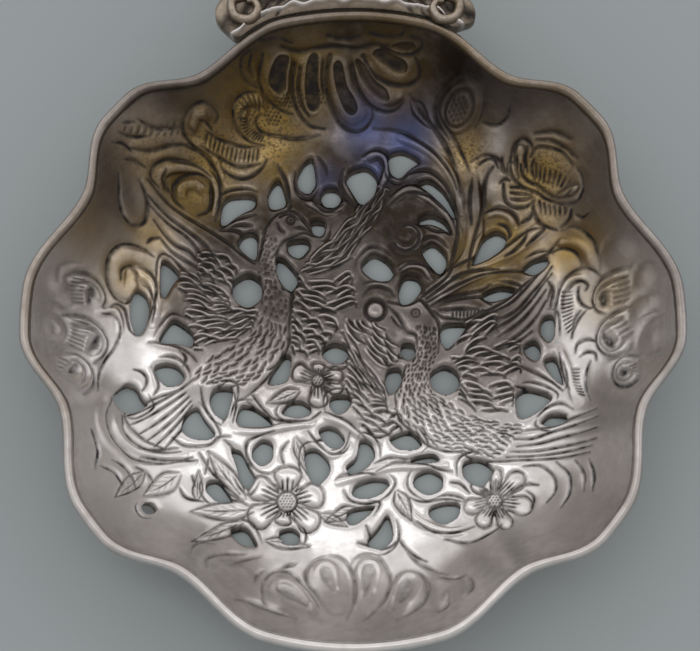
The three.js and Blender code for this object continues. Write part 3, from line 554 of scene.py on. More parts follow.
# Hatched bands: two lines with short strokes between them, and the number of strokes
HATCHED = [
    ("-13.6,19.5 -12.4,19.0 -10.6,18.7 -9.0,18.9", "-14.0,18.6 -12.8,18.0 -11.0,17.3 -9.2,17.5", 13, 0.2),
    ("-10.9,21.0 -10.6,20.2 -9.8,19.6 -8.8,19.4", "-9.8,21.2 -9.6,20.8 -9.2,20.4 -8.4,20.1", 11, 0.2),
    ("-10.8,22.2 -9.8,23.0 -8.9,22.9", "-9.8,21.6 -9.3,21.9 -8.8,21.8", 5, 0.2),
    ("19.6,4.8 19.5,3.4 19.7,2.0 20.1,0.9", "20.7,4.8 20.8,3.6 20.7,2.6 20.8,1.6", 11, 0.16),
    ("20.5,-2.6 20.6,-4.0 21.0,-5.0", "21.2,-2.6 21.2,-4.0 21.6,-5.2", 9, 0.14),
    ("17.6,13.6 18.5,13.1 19.8,12.6", "17.8,12.3 18.7,12.0 19.9,11.8", 6, 0.3),
    ("9.4,3.0 10.6,3.1 12.2,3.1", "9.4,2.4 10.6,2.3 12.0,2.8", 9, 0.16),
    # the stamens of the peony
    ("17.3,15.5 17.9,15.0 18.8,14.7 19.8,14.1", "17.2,17.0 18.2,16.3 19.3,15.8 20.3,14.9", 8, 0.34),
]

# Raised rounded bands of the scrolls and stems: the middle line, half the width, the height
SCROLL_BANDS = [
    ("-18.9,7.6 -19.8,8.0 -20.9,8.0 -21.8,7.3 -22.1,6.2 -21.8,5.0 -21.2,4.7 -20.9,5.4 -21.1,6.2",
     0.75, 0.36),
    ("-20.4,6.7 -19.2,6.0 -18.6,4.8 -18.6,3.2 -18.9,1.8", 0.5, 0.26),
    ("-13.0,12.6 -13.0,15.0 -14.2,16.4 -16.2,16.6 -17.8,16.0 -18.3,14.8", 0.45, 0.26),
    ("-14.2,14.6 -15.0,15.3 -16.2,14.8 -16.2,13.6", 0.5, 0.24),
    ("-15.4,18.7 -13.6,18.3 -12.9,17.2 -12.4,15.4", 0.4, 0.22),
    ("-15.2,19.6 -14.6,20.5 -13.6,20.8", 0.45, 0.3),
    ("-10.3,20.4 -10.4,21.6 -9.6,22.5 -8.4,22.6", 0.4, 0.26),
    ("7.6,4.8 9.6,6.4 11.2,8.6 11.6,11.4 11.4,14.0 11.0,16.8", 0.85, 0.3),
    ("9.0,6.4 12.0,7.4 14.8,8.8 16.8,10.2 18.3,11.4", 0.75, 0.3),
    ("4.6,20.0 6.8,19.0 8.6,17.4 9.9,15.2 10.4,12.6", 0.5, 0.24),
    ("3.6,13.6 5.4,14.8 7.3,14.0 8.9,12.6 9.9,10.6", 0.5, 0.26),
    ("4.0,9.8 4.6,9.0 5.8,9.2 6.3,10.4 5.6,11.2 4.4,11.1", 0.35, 0.22),
    ("4.3,7.0 5.4,7.5 6.7,7.2 7.4,6.2", 0.35, 0.22),
    ("1.2,18.0 2.2,18.4 3.1,17.8 3.2,16.6 2.8,15.2", 0.4, 0.22),
    ("-4.6,13.7 -3.6,13.2 -2.2,12.6 -0.8,13.4", 0.35, 0.2),
    ("12.6,12.2 13.6,12.6 14.8,12.2 15.4,11.2", 0.4, 0.24),
    ("15.2,7.4 13.4,7.0 11.6,6.4 9.2,5.2 7.4,4.0", 0.45, 0.24),
    ("19.0,9.6 20.6,9.2 21.8,8.2 22.3,7.0", 0.4, 0.24),
    ("19.4,3.0 19.6,4.8 20.4,5.9 21.4,6.0 21.9,5.4", 0.35, 0.26),
    ("19.2,-0.6 19.9,-2.2 20.4,-4.2 20.9,-5.8", 0.5, 0.26),
    ("-23.6,2.4 -22.4,2.9 -21.9,1.8 -21.8,0.4", 0.35, 0.24),
    ("-22.6,-5.6 -23.0,-7.6 -22.4,-9.8 -20.8,-11.2", 0.5, 0.26),
    ("-21.7,-7.2 -21.5,-8.9 -20.2,-10.2 -18.0,-10.8 -15.6,-10.7", 0.4, 0.26),
    ("-10.8,-8.3 -8.4,-8.4 -6.0,-7.9 -3.8,-7.6", 0.4, 0.22),
    ("-2.4,-7.0 -0.8,-7.7 0.6,-8.7 2.4,-9.4", 0.4, 0.22),
    ("-4.4,-8.8 -3.2,-10.2 -1.8,-10.6 -0.4,-9.8", 0.4, 0.22),
    ("-1.4,-13.2 0.0,-12.8 1.4,-12.4 3.4,-11.8 6.0,-11.7 8.6,-11.6", 0.35, 0.22),
    ("4.4,-14.4 5.0,-15.8 6.4,-17.0 8.6,-17.8 10.8,-17.6", 0.45, 0.26),
]

# Soft lobes of the two fans on the end walls
SOUTH_FAN_LOBES = [
    "-4.2,-21.3 -3.2,-20.4 -1.8,-20.5 -0.7,-21.6 -0.4,-23.4 -0.6,-25.4 -2.0,-25.6 -3.0,-23.8",
    "0.5,-20.4 1.8,-20.0 2.9,-20.8 3.1,-22.4 2.3,-24.8 1.2,-25.8 0.5,-24.5 0.2,-22.4",
    "4.1,-22.3 5.4,-21.9 6.5,-22.6 6.4,-23.8 5.2,-25.4 4.0,-25.6 3.6,-24.4",
    "-8.3,-22.5 -7.2,-21.5 -5.6,-22.0 -4.2,-23.6 -3.2,-25.2 -4.4,-25.4 -6.4,-24.4",
    "-12.6,-21.6 -11.2,-20.6 -9.4,-21.4 -7.6,-23.2 -6.2,-25.0 -8.4,-25.0 -10.8,-23.6",
    "7.4,-22.6 8.8,-22.0 10.0,-22.6 9.8,-24.0 8.0,-25.2 7.0,-24.8",
]
NORTH_FAN_LOBES = [
    "-5.2,26.2 -5.2,23.6 -4.0,21.7 -3.0,23.0 -2.9,26.2",
    "-2.3,26.2 -2.1,23.2 -0.6,21.2 0.8,21.3 1.4,22.4 0.2,24.0 -0.5,26.2",
    "0.4,26.0 1.2,24.2 3.2,22.7 4.6,23.0 4.8,23.8 2.8,24.6 1.8,26.0",
    "-8.7,26.2 -8.6,24.6 -7.6,23.0 -6.4,22.6 -5.9,24.4 -6.0,26.4",
]

# Shells on the walls at the left and the right: the outline, the eye, the ribs' ends and their number
SHELLS = [
    ("-26.2,5.0 -25.4,5.5 -24.4,5.6 -23.5,5.0 -23.1,4.0 -23.3,3.0", "-24.3,4.5 -24.2,3.9 -24.4,3.3",
     "-24.8,5.1 -24.9,4.2 -24.8,3.1", "-26.0,5.0 -26.2,4.0 -25.9,2.9", 7),
    ("-26.5,1.5 -25.5,1.8 -24.4,1.7 -23.5,1.1 -22.9,0.1 -22.9,-0.9 -23.4,-1.9 -23.9,-2.4",
     "-23.7,0.1 -23.8,-0.5 -24.2,-1.1", "-24.4,1.1 -24.5,0.1 -24.8,-1.3",
     "-26.0,1.3 -26.1,0.3 -26.3,-0.9", 7),
    ("-26.2,-1.9 -25.2,-1.9 -24.3,-2.6 -23.8,-3.8 -23.9,-5.0 -24.4,-5.9", "-25.4,-3.1 -25.5,-3.5 -25.8,-3.9",
     "-25.9,-2.7 -26.1,-3.3 -26.3,-4.1", "-26.8,-2.5 -27.0,-3.2 -27.0,-4.0", 4),
    ("25.4,6.0 24.2,6.0 23.2,5.6 22.6,4.8 22.4,3.8 22.8,2.8 23.5,2.3", "23.3,4.2 23.2,3.7 23.4,3.2",
     "24.0,5.1 23.9,4.2 24.0,3.2", "25.5,5.3 25.7,4.4 25.6,3.3", 5),
    ("25.6,2.6 24.4,2.4 23.4,1.8 22.8,0.8 22.7,-0.3 23.2,-1.3 24.0,-1.8 25.0,-1.6 25.5,-0.9",
     "23.3,0.4 23.6,-0.2 24.1,-0.9", "23.9,1.7 24.2,0.9 24.7,-0.2", "24.9,2.4 25.4,1.5 25.8,0.2", 5),
    ("26.0,-2.2 25.0,-1.9 24.2,-2.6 23.9,-3.8 24.2,-4.8 25.0,-5.1 25.8,-4.6 26.0,-3.4",
     "24.7,-3.3 24.8,-3.9", "25.3,-3.0 25.4,-3.8", "25.9,-2.9 26.0,-3.8", 3),
]
# Faint worn rings beyond the shells
FAINT_RINGS = [
    "25.5,1.2 25.4,2.4 26.0,3.2 27.2,3.4 28.2,2.9",
    "26.0,-1.4 26.4,0.1 27.2,1.0 28.3,1.2",
    "26.2,-2.3 27.1,-2.8 28.0,-2.3 28.5,-1.0",
    "25.7,4.2 25.8,5.4 26.6,6.0 27.6,5.6",
    "22.9,6.4 22.9,7.6 23.5,8.6 24.6,8.9 25.8,8.3 26.5,7.3",
    "26.4,1.4 27.2,1.7 27.8,1.4",
    "-28.0,0.9 -27.2,1.5 -26.4,1.0 -26.1,0.0 -26.6,-1.0 -27.6,-1.1",
    "-28.4,2.2 -27.2,2.6 -26.2,2.4 -25.5,2.7",
    "-27.0,4.4 -26.7,5.6 -25.8,6.2 -24.9,6.4",
    "-28.2,-1.8 -27.6,-3.2 -26.6,-4.6",
    "-26.9,-2.8 -26.7,-3.8 -26.0,-4.7 -25.2,-4.9",
    "-27.4,0.5 -27.1,0.0 -27.4,-0.4",
]
FAINT_DOMES = [
    (26.8, 2.1, 1.2), (27.3, -0.9, 1.2), (26.7, 4.8, 0.9), (24.6, 7.3, 1.3), (-27.1, 0.2, 1.0),
    (-27.0, 4.2, 0.9),
    (-26.2, -3.4, 1.3),
]

PEONY_LINES = [
    ("14.9,16.4 15.3,15.7 16.2,14.8 17.3,14.3 18.2,13.6 19.2,13.0 20.2,12.7 20.9,12.8 21.3,13.6 "
     "21.2,14.8 20.8,15.6"),
    "15.9,16.9 16.0,16.0 16.6,15.3 17.5,14.8 18.2,14.1 19.0,13.6 19.8,13.4 20.4,13.8",
    "17.0,17.1 16.8,16.3 17.2,15.4",
    "16.7,17.4 17.2,18.0 18.2,17.8 19.4,17.2 20.4,16.0",
    "14.9,17.4 15.2,18.4 15.9,18.8 16.6,18.5 16.9,18.0",
    "16.4,18.2 16.2,17.2 16.5,16.2",
    "14.9,17.3 15.0,16.2 15.6,15.4",
    "15.5,17.6 15.5,16.4",
    "14.1,17.6 14.2,16.6 14.8,16.1",
    "17.2,18.6 18.4,18.3 19.6,17.5 20.8,16.4",
    "17.0,19.1 18.6,18.9 20.2,18.0",
    "14.0,15.5 14.4,15.8 14.9,15.6",
    "14.3,15.4 14.4,14.2 14.8,13.4 15.4,13.1 16.4,13.1 17.2,13.6",
    "15.0,15.0 15.9,14.9 16.6,14.6 17.0,14.3",
    "15.0,14.5 16.0,14.3 16.9,14.1",
    "15.0,13.9 16.2,13.8 17.0,13.9",
    "17.0,13.6 17.1,12.6 17.6,11.6 18.4,11.0 19.2,10.6",
    "19.5,10.8 20.2,11.4 20.4,12.2",
    "16.0,11.6 16.8,12.1 17.1,12.8",
    "20.8,11.5 21.3,11.1 21.9,11.3",
    "13.3,16.9 12.7,16.0 12.5,14.6 12.6,13.2",
    "12.0,17.2 12.7,17.6 13.4,17.5 13.8,16.8",
]
PEONY_PETALS = [
    ("15.7,18.5", "15.9,15.8", 1.1),
    ("14.8,17.2", "15.6,15.2", 0.8),
    ("21.0,14.0", "18.6,13.5", 0.9),
]
# Openings that lie in a bird, by their place in the table
OPENINGS_IN_BIRDS = {6, 7, 8, 9, 18, 22, 23, 25, 33, 34, 55, 56}

SOUTH_FAN_LOOPS = [
    "-2.4,-25.2 -3.3,-23.6 -4.1,-22.5 -4.3,-21.5 -3.8,-20.7 -3.0,-20.2 -2.2,-20.0",
    "-2.2,-20.0 -1.2,-20.2 -0.4,-20.9 0.1,-22.0 0.2,-23.4 0.0,-24.8 -0.5,-26.2",
    "-0.3,-20.9 0.3,-20.2 1.2,-19.9 2.2,-20.1 3.0,-21.0 3.4,-22.2 3.1,-23.6 2.2,-25.0 1.0,-26.3",
    "3.9,-22.0 4.4,-21.5 5.3,-21.4 6.2,-21.8 6.8,-22.8 6.5,-24.1 5.4,-25.3 3.9,-26.3",
    "-7.2,-25.6 -8.0,-24.6 -8.2,-23.3 -7.8,-22.1 -6.8,-21.4 -5.5,-21.7 -4.4,-23.0 -3.1,-24.9",
    "-8.9,-22.8 -8.7,-22.0 -8.1,-21.4",
    "-6.7,-21.3 -5.9,-20.9 -5.0,-20.6",
    "-10.4,-24.6 -9.4,-24.6 -7.4,-25.3 -5.0,-26.2",
    "7.9,-22.0 9.0,-22.3 10.2,-22.0",
    "7.6,-25.6 8.4,-24.8 8.6,-23.9",
    "10.5,-22.3 10.6,-23.2 10.2,-24.0",
    "-14.5,-20.3 -14.3,-19.3 -13.5,-18.9 -12.6,-19.1",
    "-13.0,-21.6 -13.1,-20.8 -12.4,-20.2 -11.2,-19.9 -9.8,-19.9",
    "-11.1,-21.3 -10.4,-20.7 -9.4,-20.3 -8.4,-20.1",
    "4.3,-18.5 5.0,-19.6 6.0,-20.6 7.4,-21.4 8.6,-21.9",
]
SOUTH_FAN_DROPS = [
    ("-2.9,-21.5 -2.3,-21.4 -1.9,-22.4 -1.7,-23.6 -2.3,-23.0 -2.8,-22.2",
     "-3.2,-22.3 -3.2,-21.3 -2.5,-20.8 -1.8,-21.3 -1.5,-22.6 -1.4,-24.0"),
    ("1.0,-21.3 1.7,-21.1 1.9,-21.8 1.5,-23.2 1.2,-24.0 1.0,-22.4",
     "0.7,-24.6 0.7,-23.0 0.6,-21.5 1.1,-20.7 1.9,-20.7 2.3,-21.5 2.0,-23.0 1.6,-24.4"),
    ("4.4,-22.9 5.1,-22.4 5.6,-22.8 5.3,-23.6 4.4,-24.7 4.0,-24.4",
     "3.2,-25.0 3.7,-23.8 4.1,-22.8 4.9,-21.9 5.8,-22.1 6.1,-23.0 5.5,-24.2 4.4,-25.3"),
    ("-6.9,-23.4 -6.0,-23.3 -5.0,-23.9 -4.2,-24.9 -5.2,-24.6 -6.3,-24.0",
     "-7.1,-24.2 -7.3,-23.5 -7.0,-22.7 -6.0,-22.6 -4.9,-23.2 -4.0,-24.3 -3.4,-25.4"),
]

# The first bird, at the left, looks up to the right
BIRD_A_LINES = [
    # long feathers of the left wing
    "-19.3,15.1 -17.6,13.3 -16.0,12.2 -14.0,11.0 -12.0,9.7 -10.4,8.4 -9.3,7.6",
    "-19.6,13.9 -17.8,12.2 -15.6,10.6 -14.1,9.4 -13.3,8.5 -12.3,8.0",
    "-19.2,12.8 -17.6,11.4 -16.1,10.4 -15.2,9.5 -14.5,8.6 -13.4,7.9",
    "-18.9,11.6 -17.8,10.2 -16.8,9.3 -15.5,8.7 -14.8,7.9 -13.6,7.4",
    "-18.2,9.9 -17.2,8.7 -16.0,7.9 -15.0,7.3 -14.0,6.5 -13.0,6.0",
    "-17.3,8.3 -16.2,7.1 -15.4,6.5 -14.6,6.0",
    # head, throat and back
    "-8.3,11.1 -7.6,12.1 -6.4,12.7 -5.4,12.5 -4.9,12.0 -4.4,11.4 -3.8,10.4 -4.6,10.6 -5.7,10.1",
    "-8.3,11.1 -8.6,9.6 -9.0,7.8",
    "-5.7,10.1 -6.6,9.6 -7.2,8.4 -6.7,6.6 -5.8,5.0 -5.8,3.4 -6.0,1.6 -5.9,0.0",
    "-7.0,12.1 -6.3,12.4 -5.6,12.2 -5.2,11.8",
    "-5.5,11.0 -4.8,11.0 -4.1,10.7",
    "-7.2,11.5 -7.0,10.9 -6.5,10.5",
    "-5.9,0.0 -6.6,-1.6 -7.8,-3.2 -9.2,-4.6 -10.2,-5.4",
    # tail
    "-14.9,-3.6 -16.4,-4.6 -18.6,-5.4 -21.0,-6.6",
    "-15.8,-4.3 -18.2,-5.7 -21.0,-7.2",
    "-15.6,-4.8 -18.0,-6.4 -20.6,-8.0",
    "-15.3,-5.2 -17.4,-7.0 -19.8,-8.8",
    "-15.1,-5.6 -16.8,-7.4 -19.1,-9.4",
    "-15.0,-6.0 -16.4,-7.8 -18.4,-9.9",
    "-14.6,-6.4 -15.6,-7.8 -17.5,-10.1",
    "-21.0,-6.6 -20.9,-7.6 -19.4,-9.2 -17.5,-10.1",
    # legs
    "-11.9,-4.6 -11.8,-6.0 -12.1,-7.6",
    "-11.1,-4.8 -10.9,-6.0 -11.2,-7.6",
    "-9.4,-5.0 -8.5,-6.2 -7.4,-7.3",
]
# The second bird, at the right, looks up to the left
BIRD_B_LINES = [
    "3.2,3.9 4.4,3.7 5.4,3.7 6.3,4.1 7.0,3.4 7.6,2.6 8.0,2.0 8.2,0.6 8.0,-0.8",
    "3.3,3.4 4.0,2.7 4.5,1.9 5.0,1.0 5.9,0.6 6.0,-0.6",
    "3.6,2.4 4.2,1.6 4.9,1.2",
    "3.9,-4.9 4.0,-6.0 4.3,-7.2 5.0,-8.1 6.2,-9.1 7.0,-9.8 8.4,-10.3 10.0,-10.4",
    "5.0,-2.2 4.5,-3.4 4.0,-4.8",
    # long feathers of the right wing
    "8.8,-0.6 9.6,0.6 10.6,1.6 11.6,2.4 13.0,3.2 14.4,4.0 15.8,5.2 17.2,6.4 18.4,7.8",
    "12.6,2.8 13.6,3.1 15.0,3.9 16.4,5.3 17.8,7.0 18.5,7.7",
    "13.4,2.2 14.4,2.4 15.6,3.2 16.8,4.6 18.0,6.0 18.8,7.3",
    "13.2,1.2 14.0,1.6 15.2,2.4 16.6,3.8 17.8,5.4 18.8,6.6",
    "13.6,0.4 14.8,1.2 16.0,2.2 17.2,3.6 18.2,5.0",
    "14.0,-0.2 15.2,0.4 16.4,1.4 17.4,2.6 18.2,4.0",
    "13.4,-0.8 14.6,-0.4 15.8,0.2 16.8,1.0",
    "18.3,3.9 18.8,5.2 18.6,3.4",
    # crest plumes
    "6.9,3.8 9.0,5.0 11.4,6.2 13.4,6.7 16.4,6.9",
    "7.4,3.5 8.6,4.2 10.4,4.6 12.2,5.0 12.9,5.5",
    "8.6,3.9 10.0,4.2 11.6,4.4 12.2,4.3 13.0,3.6",
    "7.6,3.0 8.4,2.4 9.4,2.3 10.6,2.2 11.8,2.8 13.2,3.2",
    "8.2,3.1 9.8,3.2 11.6,3.2",
    "6.4,4.3 8.6,6.0 9.4,7.2",
    "6.9,4.2 9.4,6.0 11.4,7.0",
    # tail
    "16.0,-8.4 18.2,-8.0 20.2,-7.3 22.4,-6.7",
    "15.0,-9.2 16.8,-9.1 18.4,-8.5 20.4,-8.0 22.4,-7.5",
    "15.2,-9.9 17.2,-9.6 19.6,-9.0 22.3,-8.6",
    "14.6,-10.4 17.0,-10.3 19.6,-9.9 22.2,-9.6",
    "14.2,-10.9 17.4,-10.7 21.8,-10.2",
    "10.0,-10.4 11.0,-11.0 13.0,-11.3 16.0,-11.1 19.0,-11.0 21.6,-10.8",
]

# Rows of feathers: the first line of the band, the last one, how many rows, strokes in a row
FEATHER_ROWS = [
    # left wing of the first bird
    ("-14.6,8.2 -13.4,8.2 -12.2,8.0 -10.8,7.5", "-14.6,6.4 -13.4,6.2 -12.2,5.6 -11.3,5.0", 5, 2),
    ("-16.7,6.5 -15.4,6.3 -14.0,5.6 -12.8,5.0 -11.8,4.4", "-16.0,3.5 -14.8,3.3 -13.4,2.9 -11.4,3.0", 7, 2),
    ("-15.8,2.9 -14.0,2.6 -12.0,2.7 -10.4,2.9 -9.0,3.0", "-14.8,-0.8 -13.4,-0.2 -11.4,0.2 -9.6,1.2", 8, 2),
    # right wing of the first bird
    ("-3.6,8.2 -1.8,9.7 -0.4,11.5 0.9,13.2 2.2,15.0",
     "-4.9,6.4 -2.8,6.6 -0.8,7.6 0.5,9.4 2.8,12.8 3.4,14.6", 7, 3),
    ("-5.1,6.0 -3.6,5.5 -2.0,5.6 -0.2,6.6", "-5.4,3.7 -3.8,3.0 -1.8,3.0 0.3,3.7", 6, 2),
    ("-5.7,2.8 -4.4,2.4 -2.8,2.3 -1.3,1.6", "-5.7,-0.6 -4.8,-1.0 -3.8,-1.0 -3.1,-0.8", 8, 2),
    # left wing of the second bird
    ("-0.9,2.2 0.2,0.6 1.6,-1.0 3.1,-2.4", "2.2,1.8 3.0,0.8 4.0,-0.5 4.4,-1.5", 6, 2),
    ("-1.0,1.4 0.2,-0.4 1.4,-2.6 2.9,-4.4", "-0.6,-4.6 0.4,-5.4 1.6,-6.0 3.2,-6.2", 9, 2),
    ("-0.3,-5.6 1.2,-6.4 2.6,-6.8 4.0,-6.4", "0.9,-8.0 2.0,-8.5 3.2,-8.6 4.4,-8.1", 4, 2),
    # right wing of the second bird
    ("9.4,0.2 10.6,1.4 12.0,2.2 13.4,2.8", "10.6,-1.0 11.6,0.0 12.6,0.8 13.4,1.4", 4, 1),
    ("9.4,-1.7 11.0,-1.0 13.0,-0.7 15.6,-0.1", "10.3,-3.4 12.0,-3.2 13.8,-3.2 15.6,-2.6", 6, 2),
    ("10.2,-3.9 11.6,-4.4 13.2,-4.2 15.0,-4.0", "9.8,-5.4 11.2,-6.2 13.0,-6.6 14.9,-6.2", 5, 2),
]

# Small strokes: edges of the field, rows, strokes in a row, length of a stroke, darkness
STROKE_FIELDS = [
    # body and breast of the first bird
    ("-8.4,2.6 -9.2,1.2 -11.2,0.0 -13.2,-1.4 -15.0,-3.2",
     "-6.1,1.6 -6.1,-0.2 -7.2,-2.0 -9.0,-3.8 -11.6,-4.3",
     12, 6, 0.75, 0.95),
    ("-9.0,6.4 -8.7,4.2 -8.4,2.6", "-7.1,6.0 -6.1,4.2 -6.0,1.8", 7, 4, 0.3, 0.55),
    ("-8.6,10.8 -8.9,8.6 -8.9,6.6", "-7.0,9.8 -7.3,8.4 -7.2,6.2", 9, 4, 0.12, 0.5),
    # neck, breast and body of the second bird
    ("5.9,1.8 6.1,0.4 6.0,-1.0 5.0,-2.4 4.5,-4.0 4.0,-5.2",
     "7.9,1.6 8.2,0.2 7.8,-1.4 7.1,-2.8 7.1,-4.2 7.6,-4.8",
     15, 7, 0.3, 0.9),
    ("4.0,-5.2 4.2,-7.0 5.2,-8.4 6.8,-9.6 8.4,-10.2 10.4,-10.5 12.8,-11.0",
     "7.6,-4.8 8.8,-5.6 9.8,-6.4 11.0,-7.1 12.6,-7.4 14.4,-7.7 15.8,-8.0", 17, 8, 0.7, 0.95),
]

# Flowers: the middle, its radius, and each petal's tip with the petal's width
FLOWERS = [
    ((-6.1, -15.0), 0.95, [(-6.0, -11.7, 2.6), (-2.7, -14.2, 2.5), (-3.3, -17.5, 2.3),
                           (-6.6, -17.2, 1.6), (-9.6, -16.9, 2.4), (-9.6, -13.3, 2.4)]),
    ((13.1, -14.9), 0.7, [(13.3, -11.9, 1.2), (15.8, -12.4, 1.7), (16.5, -15.6, 1.9),
                          (14.2, -17.6, 1.4), (11.6, -17.3, 1.5), (10.2, -15.7, 1.5), (11.0, -13.3, 1.0)]),
    ((-3.3, -3.6), 0.6, [(-5.7, -2.6, 1.8), (-3.2, -1.9, 1.3), (-1.0, -2.9, 1.7),
                         (-1.0, -4.6, 1.4), (-3.2, -6.2, 1.9)]),
]

# Leaves: from the stalk to the point, and the width
LEAVES = [
    ((-9.2, -15.8), (-14.9, -15.9), 1.9),
    ((-10.2, -16.9), (-14.6, -19.0), 1.3),
    ((-16.0, -12.4), (-19.1, -14.7), 1.9),
    ((-10.0, -14.9), (-13.5, -10.3), 1.7),
    ((-14.4, -14.9), (-14.3, -12.2), 0.9),
    ((-3.0, -16.2), (-0.5, -17.3), 0.9),
    ((-5.0, -4.6), (-8.0, -5.8), 1.3),
    ((-8.0, -18.6), (-4.0, -19.2), 1.0),
    ((0.3, -15.6), (-2.6, -16.9), 1.2),
    ((-5.4, -9.0), (-4.2, -12.4), 1.0),
    ((4.0, -14.0), (5.4, -16.8), 1.4),
    ((5.5, 23.0), (7.4, 20.6), 1.0),
    ((-19.2, -12.4), (-21.4, -15.2), 1.3),
]

# Golden tint, partly tarnish and partly painted warm reflection: middle, reach and strength of each patch
WARM_PATCHES = [
    (-9.5, 21.0, 4.5, 1.0), (-13.0, 18.5, 3.5, 0.9), (-4.0, 24.5, 3.5, 0.6), (-19.0, 17.0, 3.5, 0.55),
    (17.8, 15.5, 3.2, 1.0), (10.8, 18.4, 2.4, 0.8), (-21.0, 6.4, 3.0, 0.9), (20.6, 8.6, 3.0, 0.95),
    (23.8, 4.0, 2.8, 0.65), (15.5, 10.0, 3.5, 0.5), (-24.5, 9.5, 3.5, 0.5), (3.0, 24.5, 3.5, 0.45),
    (18.5, 11.8, 2.0, 0.7), (-19.5, 10.0, 2.5, 0.7), (-15.5, 14.5, 3.2, 0.45), (13.0, 8.5, 3.0, 0.5),
]
# Bluish tint, a painted blue reflection
COOL_PATCHES = [(1.5, 21.3, 2.8, 1.0), (5.0, 20.0, 2.8, 1.0), (2.4, 17.4, 1.8, 0.7), (-3.0, 16.0, 1.8, 0.4)]
# Places that are darker than the rest
DARK_PATCHES = [
    (11.0, 13.0, 3.2, 0.45), (9.0, 7.5, 3.0, 0.3), (-5.5, 17.5, 4.5, 0.45), (-15.0, 14.5, 4.0, 0.55),
    (-11.0, 12.5, 3.0, 0.3), (17.5, 16.5, 3.5, 0.25), (15.5, 11.0, 4.0, 0.35), (5.0, 16.5, 3.5, 0.3),
    (3.0, 20.5, 3.5, 0.45), (20.5, 9.0, 2.5, 0.2),
]
# Painted light: places made lighter, and one small painted highlight by the peony
PAINTED_LIGHT_PATCHES = [
    (-21.0, -4.0, 5.5, 0.5), (-16.0, -11.0, 6.0, 0.4), (3.0, -18.0, 6.0, 0.35), (-21.0, 6.5, 3.0, 0.3),
    (-10.0, 20.0, 5.0, 0.15), (18.0, 14.0, 6.0, 0.12), (24.0, 3.0, 5.0, 0.15), (-12.5, 4.5, 5.0, 0.22),
    (-1.5, 7.5, 4.0, 0.14), (-7.0, 9.0, 3.5, 0.12), (-20.6, 20.6, 3.0, 0.25),
    (13.4, 18.9, 1.3, 0.5), (12.0, -13.0, 5.0, 0.2),
]

# Bodies and wings of the birds that stand up from the ground
BIRD_BODIES = [
    "-7.4,12.6 -4.6,11.8 -6.4,8.6 -6.0,2.0 -7.0,-2.6 -10.2,-5.0 -15.6,-4.6 -14.6,-1.0 -9.6,1.4 -8.8,7.6",
    "-19.4,15.0 -10.0,8.0 -9.4,2.0 -14.8,-0.6 -16.8,3.8 -18.2,9.4",
    "-5.6,0.6 -0.8,1.6 3.0,12.6 1.4,13.8 -5.0,6.8",
    "3.6,3.4 6.8,3.8 7.4,-1.8 10.4,-6.0 15.0,-8.4 14.0,-11.0 7.0,-9.4 4.2,-5.0 4.8,0.0",
    "-1.0,2.2 3.2,1.6 3.4,-4.8 4.2,-8.0 0.8,-8.2 -0.6,-5.0",
    "8.8,-0.8 18.4,7.8 17.4,1.2 15.2,-4.4 9.6,-5.2",
]
BIRD_EYES = [(-5.9, 11.8), (5.9, 2.75)]
# The berry at the second bird's beak, and the lines of its hood with their width and depth
BERRY = (2.1, 3.1)
HOOD_LINES = [("0.9,4.4 1.6,5.2 2.4,5.4 3.4,5.0 3.9,4.4", 0.3, 0.2), ("1.0,5.6 2.2,6.0 3.4,5.8", 0.24, 0.16)]
# The bosses at the right of the north fan and in the scroll below it
ROUND_BOSS = (10.0, 21.8)
SCROLL_BOSS = (4.9, 10.2)
# Stippled ground between the loops of the north fan
STIPPLED_SPOTS = [(-6.6, 22.8), (-7.6, 21.6), (-10.6, 24.6), (-5.4, 23.2), (-3.0, 23.6), (-9.8, 21.4)]

# Groups of chased lines, with their width, depth, strength at both ends and darkness
LINE_GROUPS = [
    (NORTH_FAN_LOOPS, 0.3, 0.26, (0.8, 0.4), 1.0),
    (NORTH_GROUND_LINES, 0.26, 0.14, (0.3, 0.3), 0.8),
    (FAINT_RINGS, 0.45, 0.16, (0.3, 0.3), 0.3),
    (PEONY_LINES, 0.32, 0.26, (0.6, 0.4), 1.0),
    (SOUTH_FAN_LOOPS, 0.36, 0.26, (0.3, 0.2), 0.5),
    (BIRD_A_LINES, 0.21, 0.22, (0.5, 0.5), 1.0),
    (BIRD_B_LINES, 0.21, 0.22, (0.5, 0.5), 1.0),
]

# Seed of the slight unevenness of the feathers
FEATHER_SEED = 7
# Spacing of the rows of dots, as a share of the spacing in a row
DOT_ROWS = 0.87
# Hair-like strokes at the upper left: how many, where the first starts, and the step to the next
HAIR_STROKES = 9
HAIR_START = (-21.4, 17.9)
HAIR_STEP = (0.62, 0.16)
# Line beside an opening: its distance, and how many points further round it starts at the next one
BORDER_DISTANCE = 0.55
BORDER_SHIFT = 7
# Keeps the length of a direction from being zero
SMALL = 1e-9

# Half widths of a leaf and of a petal, in shares of the width, at shares of the length
LEAF_PROFILE = [(0.0, 0.1), (0.3, 0.5), (0.65, 0.36)]
PETAL_PROFILE = [(0.0, 0.12), (0.35, 0.36), (0.7, 0.5), (0.93, 0.3)]


# Ways of drawing the ornament on a relief

